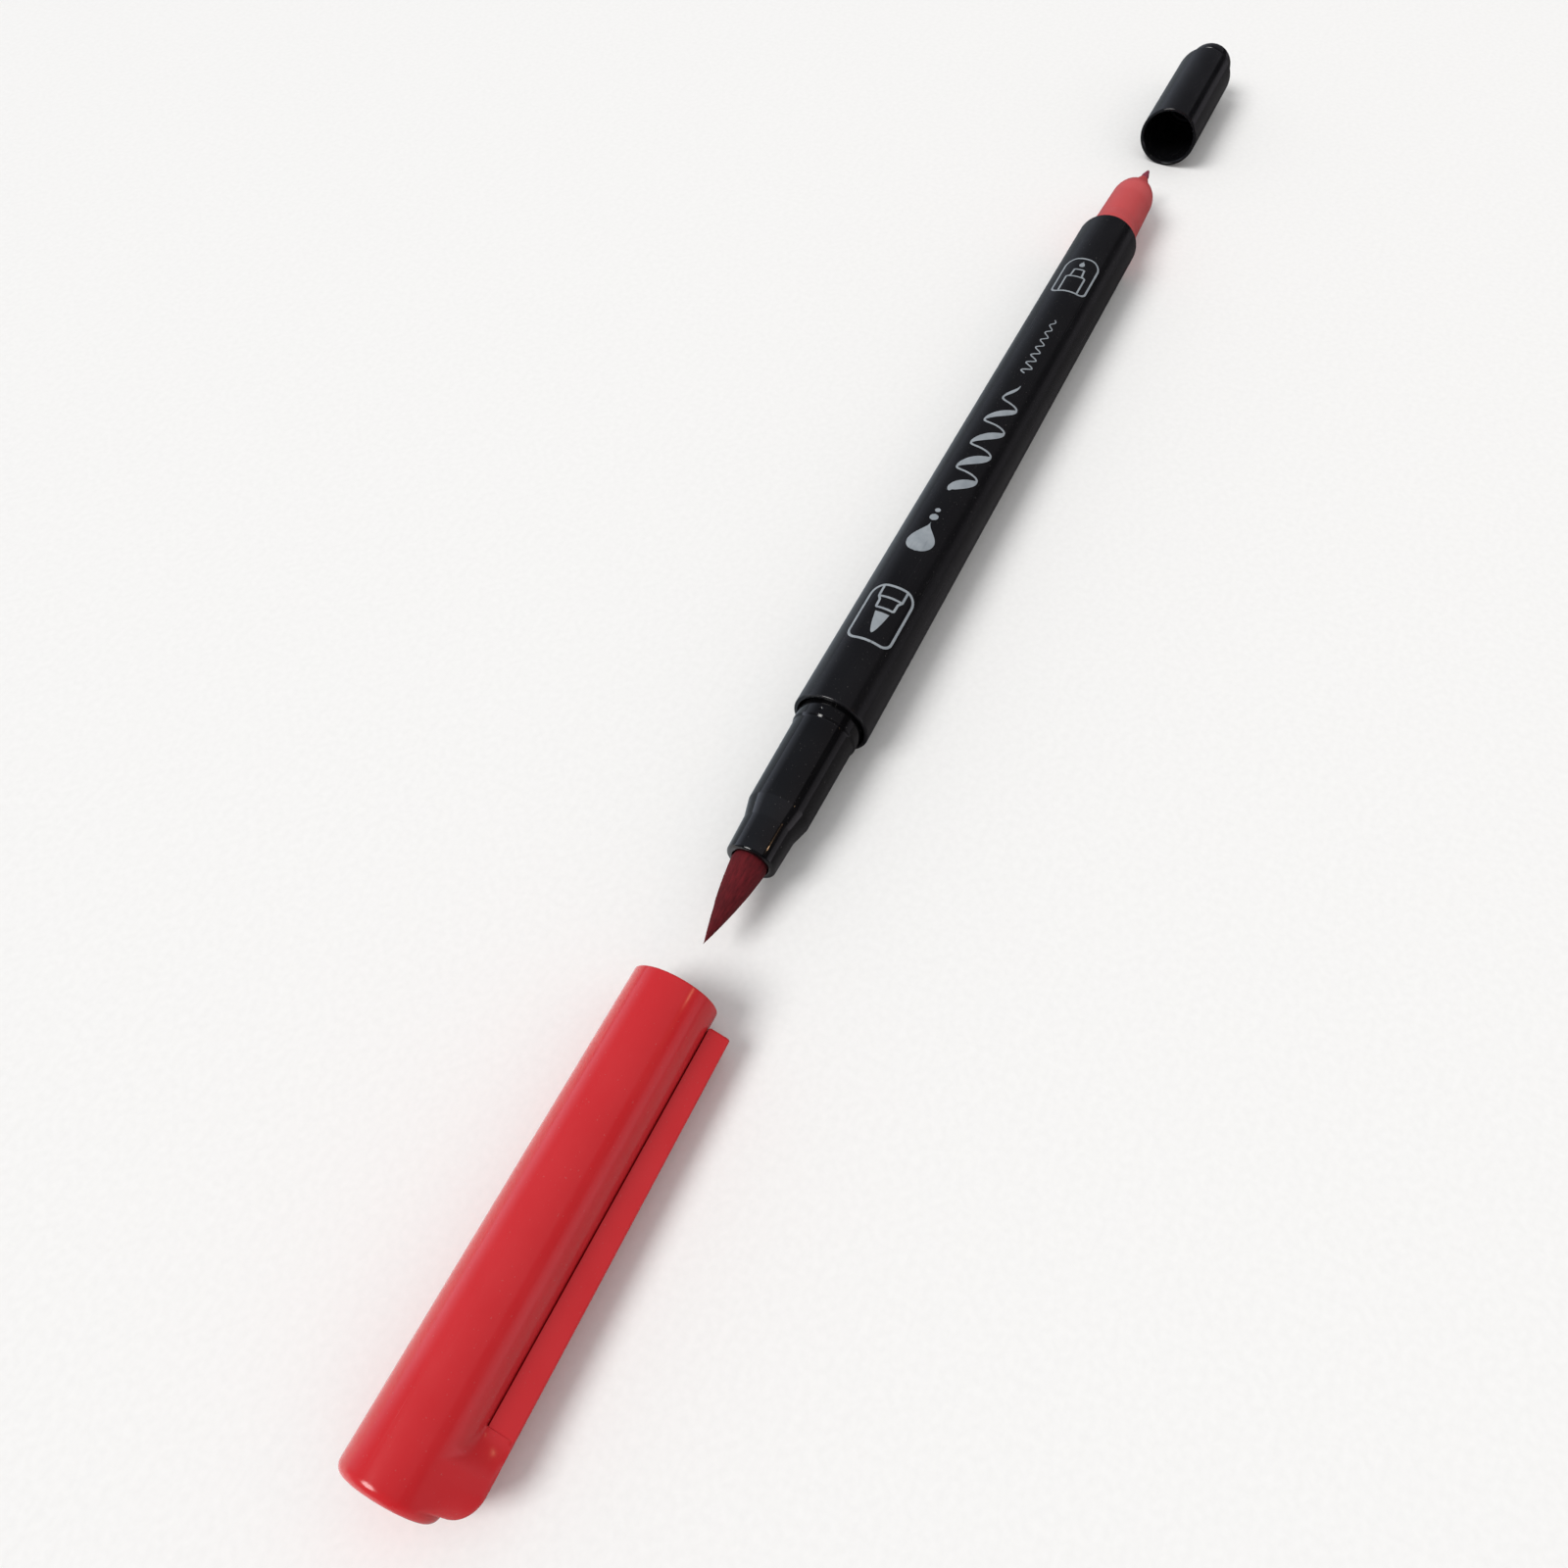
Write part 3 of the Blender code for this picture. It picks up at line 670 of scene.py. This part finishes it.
def line(verts, faces, corners, width, closed=False):
    """Add a stroke of one width through (along, across, fillet) corners."""
    spine = subdivided(rounded(corners, closed, steps=8), INK_STEP, closed)
    ribbon(verts, faces, spine, [width / 2] * len(spine), closed)


def shape(verts, faces, start, end, across, half_width):
    """Add a filled shape along the barrel, whose half width is a function of the part from 0 to 1."""
    steps = max(8, math.ceil(abs(end - start) / INK_STEP))
    parts = [i / steps for i in range(steps + 1)]
    spine = [Vector((start + (end - start) * part, across(part))) for part in parts]
    ribbon(verts, faces, spine, [max(THINNEST_INK, half_width(part)) for part in parts])


def print_mark(name, draw):
    """One printed mark as its own piece. The draw function adds its strokes."""
    verts = []
    faces = []
    draw(verts, faces)
    piece = mesh_piece(name, verts, faces, INK, sharp=60)
    settle(piece, "pen", "barrel_black")


def window(low, high, middle, half, near_round, far_round):
    """The corners of a rounded rectangle on the barrel, rounder at its high end."""
    near = [(low, middle + half, near_round), (low, middle - half, near_round)]
    return near + [(high, middle - half, far_round), (high, middle + half, far_round)]


def drop(part, size):
    """Half width of a drop of ink, round at part 0 and drawn out to a point at part 1."""
    widest = 0.36
    if part < widest:
        return size * math.sqrt(1 - (1 - part / widest) ** 2)
    return size * (1 + math.cos(math.pi * (part - widest) / (1 - widest))) / 2


def dab(part, size):
    """Half width of a round dab of ink whose radius is size."""
    return 2 * size * math.sqrt(part - part**2)


def brush_sign(verts, faces):
    """A rounded window with a leaf-shaped brush tip in front of a stepped holder."""
    frame_width = 0.36 * MM
    thin = 0.32 * MM
    outline = window(-44.2 * MM, -34.8 * MM, 0, 3.0 * MM, 1.3 * MM, 1.8 * MM)
    line(verts, faces, outline, frame_width, closed=True)
    shape(verts, faces, -42.9 * MM, -39.4 * MM, lambda part: 0, lambda part: 0.95 * MM * part**0.58)
    holder = [(-35.0, 1.62), (-36.75, 1.62), (-37.4, 1.24), (-38.7, 1.2)]
    side = [(x * MM, y * MM, 0.2 * MM) for x, y in holder]
    line(verts, faces, side + [(x, -y, fillet) for x, y, fillet in reversed(side)], thin)
    step = -36.8 * MM
    line(verts, faces, [(step, -1.5 * MM), (step, 1.5 * MM)], thin)


def fine_sign(verts, faces):
    """A rounded window with a small drop-shaped point in front of a stepped holder."""
    frame_width = 0.32 * MM
    thin = 0.28 * MM
    middle = 0.4 * MM
    outline = window(32.0 * MM, 41.0 * MM, middle, 2.75 * MM, 1.1 * MM, 1.9 * MM)
    line(verts, faces, outline, frame_width, closed=True)
    holder = [(32.2, 1.5), (36.0, 1.5), (36.35, 0.9), (38.0, 0.78)]
    side = [(x * MM, y * MM, 0.16 * MM) for x, y in holder]
    outline = [(x, middle + y, fillet) for x, y, fillet in side]
    outline += [(x, middle - y, fillet) for x, y, fillet in reversed(side)]
    line(verts, faces, outline, thin)
    step = 36.1 * MM
    line(verts, faces, [(step, middle - 1.2 * MM), (step, middle + 1.2 * MM)], thin)
    shape(verts, faces, 38.7 * MM, 40.2 * MM, lambda part: middle, lambda part: drop(part, 0.43 * MM))


def drops_mark(verts, faces):
    """A plain ornament: one large ink drop and two round dabs."""
    middle = 0.5 * MM
    shape(verts, faces, -28.0 * MM, -22.4 * MM, lambda part: middle, lambda part: drop(part, 1.9 * MM))
    for start, size in ((-22.0 * MM, 0.6 * MM), (-20.4 * MM, 0.38 * MM)):
        shape(verts, faces, start, start + 2 * size, lambda part: middle, lambda part: dab(part, size))


def swash_mark(verts, faces):
    """Slanted brush waves, thick on the way down and thin on the way up, with a drying tail."""
    low, high = -15.6 * MM, 8.0 * MM
    waves = 4.5
    height = 1.75 * MM
    slant = 0.35
    shift = 0.35 * MM
    thinnest = 0.16 * MM
    press_width = 0.66 * MM
    steps = 420
    spine = []
    widths = []
    for i in range(steps + 1):
        part = i / steps
        phase = math.tau * waves * part
        size = height * ease(part, -0.1, 0.1) * (1 - 0.75 * ease(part, 0.74, 1.0))
        across = size * math.cos(phase)
        spine.append(Vector((low + (high - low) * part - slant * across, across - shift)))
        press = max(0, math.sin(phase)) ** 1.3
        drying = 1 - 0.7 * ease(part, 0.85, 1)
        widths.append((thinnest + press_width * press * (1 - 0.6 * part)) * drying)
    ribbon(verts, faces, spine, widths)


def squiggle_mark(verts, faces):
    """A fine pen line in small waves that flatten towards its end."""
    middle = -0.3 * MM
    height = 0.7 * MM
    waves = 7.0

    def wave(part):
        """Where the line runs across the barrel."""
        return middle + height * math.sin(part * waves * math.tau) * (1 - 0.6 * part)

    shape(verts, faces, 11.0 * MM, 24.4 * MM, wave, lambda part: 0.12 * MM * (1 - 0.3 * part))


def add_marks():
    """Every printed mark on the barrel."""
    print_mark("mark_brush_sign", brush_sign)
    print_mark("mark_drops", drops_mark)
    print_mark("mark_swash", swash_mark)
    print_mark("mark_squiggle", squiggle_mark)
    print_mark("mark_fine_sign", fine_sign)


# --- the brush cap ----------------------------------------------------------------------------
# Heights are measured from the pen's axis, and places along the cap from its mouth.

CLIP_TOP = 7.33 * MM
CLIP_FREE_END = 1.9 * MM
CLIP_ROOT = 42.3 * MM
SHOULDER_FRONT_ROUND = 0.1 * MM
SHOULDER_FLARE = 3.6 * MM
SHOULDER_FALL = 46.85 * MM
SHOULDER_ROUND = 2.9 * MM
SHOULDER_HALF = 2.42 * MM
CAP_OUTSIDE = CAP_BORE + 0.3 * MM


def shoulder_swell(along):
    """How much of the full shoulder stands at a place measured from the mouth, from 0 to 1."""
    if along < SHOULDER_FALL:
        lead = min(1, max(0, (along - CLIP_ROOT) / SHOULDER_FRONT_ROUND))
        return math.sqrt(lead * (2 - lead))
    part = min(1, (along - SHOULDER_FALL) / SHOULDER_ROUND)
    return math.sqrt(1 - part * part)


def with_shoulder(along, radius, turn):
    """The cap's skin with the clip's shoulder, whose flanks lean out until they flow into it."""
    swell = shoulder_swell(along)
    away = abs((turn - CLIP_TURN + math.pi) % math.tau - math.pi)
    if swell == 0 or radius < CAP_OUTSIDE:
        return radius
    spread = ease(along, CLIP_ROOT, CLIP_ROOT + SHOULDER_FLARE)
    half = SHOULDER_HALF + 0.18 * MM * spread
    tangent = math.atan2(half, CLIP_TOP) + math.acos(SKIN / math.hypot(half, CLIP_TOP))
    lean = math.radians(88) * (1 - spread) + tangent * spread
    if away >= lean:
        return radius
    reach = half * math.sin(lean) + CLIP_TOP * math.cos(lean)
    shoulder = -smooth_max(-CLIP_TOP / math.cos(away), -reach / math.cos(lean - away), 0.3 * MM)
    blend = min(0.5 * MM, SKIN - reach) + 0.001 * MM
    return radius + swell * (smooth_max(SKIN, shoulder, blend) - SKIN)


def add_brush_cap():
    """The red shell: a flat closed end with a gate mark, and the solid shoulder of its clip."""
    length = BRUSH_CAP_LENGTH
    gate = length - 0.1 * MM
    bore_end = 40.0 * MM
    pocket = 3.2 * MM
    pocket_end = 48.6 * MM
    corners = [
        (gate, 0),
        (gate, 0.5 * MM, 0.05 * MM),
        (length, 0.62 * MM, 0.05 * MM),
        (length, SKIN, 1.0 * MM),
        (0, SKIN, RIM_ROUND),
        (0, CAP_BORE + LEAD_IN, LEAD_IN_ROUND),
        (LEAD_IN_DEPTH, CAP_BORE, BORE_ROUND),
        (bore_end, CAP_BORE, 0.3 * MM),
        (bore_end, pocket, 0.3 * MM),
        (pocket_end, pocket, 0.5 * MM),
        (pocket_end, 0),
    ]
    outline = []
    bare = rounded(corners, steps=9)
    for near, far in zip(bare, bare[1:]):
        if far.x < CLIP_ROOT < near.x and far.y > CAP_OUTSIDE:
            root = Vector((CLIP_ROOT, SKIN))
            front = Vector((CLIP_ROOT + SHOULDER_FRONT_ROUND, SKIN))
            outline += subdivided([near, front], 0.12 * MM)[:-1]
            outline += subdivided([front, root], 0.02 * MM)[:-1]
            near = root
        outline += subdivided([near, far], 3 * MM)[:-1]
    outline.append(bare[-1])
    piece = lathe("cap_shell", outline, BRUSH_CAP_MOUTH, -1, CAP_RED, segments=240, reshape=with_shoulder)
    settle(piece, "brush_cap", "cap_red", "brush_cap")


def add_clip():
    """The pocket clip: a hollow-backed rib that springs from the cap's shoulder."""
    foot_radius = SKIN + 0.13 * MM
    pad_ceiling = foot_radius + 0.15 * MM
    hollow_ceiling = 6.3 * MM
    free_half = 1.9 * MM
    widening = 0.54 * MM
    wall = 0.8 * MM
    end_round = 0.28 * MM
    spacing = 0.8 * MM
    overlap = 1.8 * MM
    stations = []
    for i in range(6):
        part = math.radians(18 * i)
        stations.append((CLIP_FREE_END + end_round * (1 - math.cos(part)), end_round * (1 - math.sin(part))))
    stations += [(CLIP_FREE_END + spacing * i, 0) for i in range(1, 51)]
    stations += [(CLIP_ROOT, 0), (CLIP_ROOT + overlap, 0.07 * MM)]
    across = Vector((0, math.cos(CLIP_TURN), -math.sin(CLIP_TURN)))
    outward = Vector((0, math.sin(CLIP_TURN), math.cos(CLIP_TURN)))
    verts = []
    rings = []
    for along, inset in stations:
        share = (along - CLIP_FREE_END) / (CLIP_ROOT - CLIP_FREE_END)
        half = free_half + widening * min(1, share) - inset
        inner = half - wall
        hollow = ease(along, 7.3 * MM, 8.9 * MM)
        side = [
            (inner, pad_ceiling + (hollow_ceiling - pad_ceiling) * hollow, 0.12 * MM),
            (inner, math.sqrt((foot_radius + inset) ** 2 - inner**2), 0.05 * MM),
            (half, math.sqrt((foot_radius + inset) ** 2 - half**2), 0.06 * MM),
            (half, CLIP_TOP + 0.012 * MM - inset, 0.26 * MM),
        ]
        section = side + [(-y, z, fillet) for y, z, fillet in reversed(side)]
        ring = rounded(section, closed=True, steps=4)
        start = Vector((BRUSH_CAP_MOUTH - along, 0, 0))
        rings.append(range(len(verts), len(verts) + len(ring)))
        verts += [start + across * spot.x + outward * spot.y for spot in ring]
    faces = []
    for near, far in zip(rings, rings[1:]):
        for a, b in zip(range(len(near)), [*range(1, len(near)), 0]):
            faces.append((near[a], near[b], far[b], far[a]))
    for ring in (rings[0], rings[-1]):
        half_count = len(ring) // 2
        for i in range(half_count - 1):
            j = len(ring) - 1 - i
            faces.append((ring[i], ring[i + 1], ring[j - 1], ring[j]))
    piece = mesh_piece("cap_clip", verts, faces, CAP_RED)
    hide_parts("brush_cap_clip")
    start = (BRUSH_CAP_MOUTH - CLIP_ROOT + 0.2 * MM, 0, 0)
    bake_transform(piece)


def add_brush_cap_liner():
    """The milky inner cup that seals on the section's nose."""
    start = 17.4 * MM
    end = 38.6 * MM
    wall = 0.8 * MM
    bore = LINER_RADIUS - wall
    corners = [
        (end, 0),
        (end, LINER_RADIUS, 0.5 * MM),
        (start, LINER_RADIUS, 0.12 * MM),
        (start, 3.75 * MM, 0.1 * MM),
        (start + wall, bore, 0.3 * MM),
        (end - wall, bore, 0.5 * MM),
        (end - wall, 0),
    ]
    outline = subdivided(rounded(corners), 1.5 * MM)
    piece = lathe("cap_seal_cup", outline, BRUSH_CAP_MOUTH, -1, LINER_NATURAL, segments=128)
    settle(piece, "brush_cap", "liner_natural", "brush_cap_liner")


# --- the fine cap -----------------------------------------------------------------------------
# Places along the cap are measured from its mouth.

def add_fine_cap():
    """The black shell: straight body, flat ledge, slim neck and a beaded rim."""
    length = FINE_CAP_LENGTH
    neck = 3.7 * MM
    bead = 3.96 * MM
    neck_bore = 3.1 * MM
    body_end = 24.1 * MM
    bore_end = 20.2 * MM
    corners = [
        (0, CAP_BORE + LEAD_IN, LEAD_IN_ROUND),
        (0, SKIN, RIM_ROUND),
        (body_end, SKIN, 0.35 * MM),
        (body_end, neck, 0.25 * MM),
        (26.3 * MM, neck, 0.12 * MM),
        (26.55 * MM, bead, 0.15 * MM),
        (length, bead, 0.5 * MM),
        (length, neck_bore + 0.12 * MM, 0.1 * MM),
        (length - 0.15 * MM, neck_bore, 0.1 * MM),
        (bore_end, neck_bore, 0.2 * MM),
        (bore_end, CAP_BORE, 0.3 * MM),
        (LEAD_IN_DEPTH, CAP_BORE, BORE_ROUND),
    ]
    outline = subdivided(rounded(corners, closed=True, steps=6), 3 * MM, closed=True)
    piece = lathe("short_cap_shell", outline, FINE_CAP_MOUTH, 1, CAP_BLACK, closed=True, segments=160)
    settle(piece, "fine_cap", "cap_black", "fine_cap")


def add_fine_cap_liner():
    """The grey inner cap, whose closed end shows in the neck with a gate mark on it."""
    end = 27.9 * MM
    face = end - 0.07 * MM
    gate = end - 0.16 * MM
    gate_pip = end - 0.05 * MM
    stem = 2.15 * MM
    stem_bore = 1.3 * MM
    stem_bore_end = 27.1 * MM
    skirt_start = 14.6 * MM
    skirt_end = 19.9 * MM
    skirt_bore = 3.6 * MM
    skirt_bore_end = 18.9 * MM
    corners = [
        (gate_pip, 0),
        (gate_pip, 0.14 * MM, 0.03 * MM),
        (gate, 0.2 * MM, 0.03 * MM),
        (gate, 0.52 * MM, 0.04 * MM),
        (end, 0.58 * MM, 0.04 * MM),
        (end, 0.72 * MM, 0.04 * MM),
        (face, 0.8 * MM, 0.04 * MM),
        (face, 1.85 * MM, 0.04 * MM),
        (end, 1.93 * MM, 0.04 * MM),
        (end, stem, 0.15 * MM),
        (skirt_end, stem, 0.3 * MM),
        (skirt_end, LINER_RADIUS, 0.3 * MM),
        (skirt_start, LINER_RADIUS, 0.15 * MM),
        (skirt_start, 3.75 * MM, 0.1 * MM),
        (15.2 * MM, skirt_bore, 0.2 * MM),
        (skirt_bore_end, skirt_bore, 0.3 * MM),
        (skirt_bore_end, 1.75 * MM, 0.2 * MM),
        (20.85 * MM, stem_bore, 0.4 * MM),
        (stem_bore_end, stem_bore, 0.4 * MM),
        (stem_bore_end, 0),
    ]
    outline = subdivided(rounded(corners, steps=4), 1.2 * MM)
    piece = lathe("short_cap_seal", outline, FINE_CAP_MOUTH, 1, LINER_BLACK, segments=128)
    settle(piece, "fine_cap", "liner_black", "fine_cap_liner")


# --- studio -----------------------------------------------------------------------------------

PEN_MIDDLE = Vector((BARREL_MIDDLE, 0, 0))
FLOOR_REACH = 8.0

# The camera's heading and lift from the pen, its lens and sensor in millimetres, and the share of
# the view's side that the object fills.
VIEW_HEADING = math.radians(-63.6)
VIEW_LIFT = math.radians(58.5)
LENS = 25.9
SENSOR = 36.0
VIEW_FILL = 0.945


def scaled(tree, colour, factor):
    """A colour or socket times a number or socket."""
    return add(tree, "ShaderNodeVectorMath", {0: colour, "Scale": factor}, operation="SCALE").outputs[0]


def painted_floor_reflection(tree, place):
    """The floor's painted reflection: its colour as the glossy pieces mirror it, by its place in
    millimetres from the pen's middle.

    It is brightest round the brush cap, where it paints a highlight along the cap's far edge. Round
    the black pieces it is dimmer and tinted, and it is dimmer again on the clip's side and towards
    the fine end.
    """
    x, y = add(tree, "ShaderNodeSeparateXYZ", {"Vector": place}).outputs[:2]
    past_brush_cap = band(tree, x, -85, -65)
    past_clip_side = band(tree, y, -4, 4)
    level = band(tree, past_brush_cap, 0, 1, 1.0, 0.36)
    level = maths(tree, "MULTIPLY", level, band(tree, past_clip_side, 0, 1, 0.37, 1.0))
    level = maths(tree, "MULTIPLY", level, band(tree, x, -10, 50, 1.0, 0.5))
    by_black = mixed(tree, past_clip_side, (1.02, 0.97, 1.02), (0.88, 1.0, 1.13))
    return scaled(tree, mixed(tree, past_brush_cap, (1, 1, 1), by_black), level)


def add_floor():
    """A large pale sheet with a very faint grain. In the pen's reflections it shows a painted reflection,
    mostly dimmer.
    """
    material, tree, shader, place = start_material("pale_floor")
    grain = noise_value(tree, place, 1.2, 3)
    tint = mixed(tree, band(tree, grain, 0.3, 0.7), (0.84, 0.84, 0.84), (0.87, 0.87, 0.87))
    is_mirrored = add(tree, "ShaderNodeLightPath").outputs["Is Glossy Ray"]
    # In reflections the floor shows its painted reflection colour instead of its own.
    tint = mixed(tree, is_mirrored, tint, painted_floor_reflection(tree, place))
    finish(tree, shader, Base_Color=tint, Roughness=0.9, Normal=bump(tree, grain, 0.004 * MM))
    bm = bmesh.new()
    bmesh.ops.create_grid(bm, x_segments=8, y_segments=8, size=FLOOR_REACH)
    mesh = bpy.data.meshes.new("floor")
    bm.to_mesh(mesh)
    bm.free()
    mesh.materials.append(material)
    floor = bpy.data.objects.new("floor", mesh)
    floor.location = (PEN_MIDDLE.x, 0, TABLE)
    bpy.context.scene.collection.objects.link(floor)


def mirrored_room(tree, x, y, z):
    """The room as the glossy pieces mirror it: pale walls, a dim ceiling and two dark cards."""
    walls = maths(tree, "MULTIPLY", band(tree, y, -0.7, 0.7, 0.35, 0.7), band(tree, z, 0.1, 0.7, 1, 0))
    walls = maths(tree, "MULTIPLY", walls, band(tree, x, 0.16, 0.3, 1.3, 1.0))
    level = maths(tree, "MAXIMUM", walls, 0.2)
    level = maths(tree, "MULTIPLY", level, band(tree, x, 0.28, 0.62, 1.7, 0.42))
    turn = maths(tree, "ARCTAN2", y, z)
    card_start = band(tree, turn, math.radians(-70), math.radians(-63), 1, 0.12)
    card_end = band(tree, turn, math.radians(-43), math.radians(-41), 0, 1)
    long_card = maths(tree, "MAXIMUM", card_start, card_end)
    cross_card = band(tree, x, -0.16, -0.06, 0.25, 1)
    level = maths(tree, "MULTIPLY", maths(tree, "MULTIPLY", level, long_card), cross_card)
    tint = mixed(tree, band(tree, y, -0.5, 0.5), (1.03, 0.97, 1.06), (0.90, 0.98, 1.16))
    return scaled(tree, tint, level)


def add_room():
    """Even light on every surface, a darker room for their reflections and a pale backdrop."""
    world = bpy.data.worlds.new("room")
    bpy.context.scene.world = world
    world.use_nodes = True
    tree = world.node_tree
    way = add(tree, "ShaderNodeTexCoord").outputs["Generated"]
    x, y, z = add(tree, "ShaderNodeSeparateXYZ", {"Vector": way}).outputs
    even = scaled(tree, (1, 1, 1), band(tree, z, 0, 1, 0.5, 0.62))
    rays = add(tree, "ShaderNodeLightPath").outputs
    seen = mixed(tree, rays["Is Camera Ray"], even, (0.905, 0.905, 0.90))
    colour = mixed(tree, rays["Is Glossy Ray"], seen, mirrored_room(tree, x, y, z))
    finish(tree, tree.nodes["Background"], Color=colour)


def add_light(name, kind, place, power, size, colour):
    """A light that shines from a place, given from the middle of the pen, towards that middle."""
    light = bpy.data.lights.new(name, kind)
    light.energy = power
    light.color = colour
    if kind == "SUN":
        light.angle = size
    else:
        light.shape = "DISK"
        light.size = size
    lamp = bpy.data.objects.new(name, light)
    lamp.location = PEN_MIDDLE + Vector(place)
    lamp.rotation_euler = (-Vector(place)).to_track_quat("-Z", "Y").to_euler()
    bpy.context.scene.collection.objects.link(lamp)


def add_camera():
    """A wide lens that looks steeply down, moved until the whole object fills the square view."""
    level = Vector((math.sin(VIEW_HEADING), -math.cos(VIEW_HEADING), 0))
    back = level * math.cos(VIEW_LIFT) + Vector((0, 0, math.sin(VIEW_LIFT)))
    data = bpy.data.cameras.new("camera")
    data.lens = LENS
    data.sensor_width = SENSOR
    data.clip_start = 0.005
    camera = bpy.data.objects.new("camera", data)
    camera.rotation_euler = back.to_track_quat("Z", "Y").to_euler()
    bpy.context.scene.collection.objects.link(camera)
    bpy.context.scene.camera = camera
    turn = camera.rotation_euler.to_matrix()
    right, up = turn.col[0], turn.col[1]
    half_view = SENSOR / LENS / 2
    points = [node.matrix_world @ vert.co for node in frame["nodes"].values() for vert in node.data.vertices]
    start_distance = 0.3
    place = PEN_MIDDLE + back * start_distance
    for _ in range(30):
        xs = []
        ys = []
        for point in points:
            ray = point - place
            depth = -ray.dot(back) * half_view
            xs.append(ray.dot(right) / depth)
            ys.append(ray.dot(up) / depth)
        distance = (place - PEN_MIDDLE).length
        off_centre = right * (min(xs) + max(xs)) + up * (min(ys) + max(ys))
        extent = max(max(xs) - min(xs), max(ys) - min(ys))
        place += off_centre / 2 * distance * half_view
        place += back * distance * (extent / 2 / VIEW_FILL - 1)
    camera.location = place


def main():
    """Build every piece, then the studio round it."""
    add_barrel()
    add_brush_section()
    add_brush()
    add_fine_section()
    add_fine_point()
    add_wadding()
    add_film()
    add_marks()
    add_brush_cap()
    add_clip()
    add_brush_cap_liner()
    add_fine_cap()
    add_fine_cap_liner()
    add_floor()
    add_room()
    add_light(
        "window", "SUN", (-0.43, 0.38, 0.71),
        power=2.06, size=math.radians(28), colour=(1.0, 0.99, 0.97))
    add_light(
        "lamp", "AREA", (0.25, -0.72, 0.62),
        power=0.15, size=0.03, colour=(1.0, 0.62, 0.35))
    add_camera()
    bpy.context.scene.view_settings.view_transform = "Standard"


main()
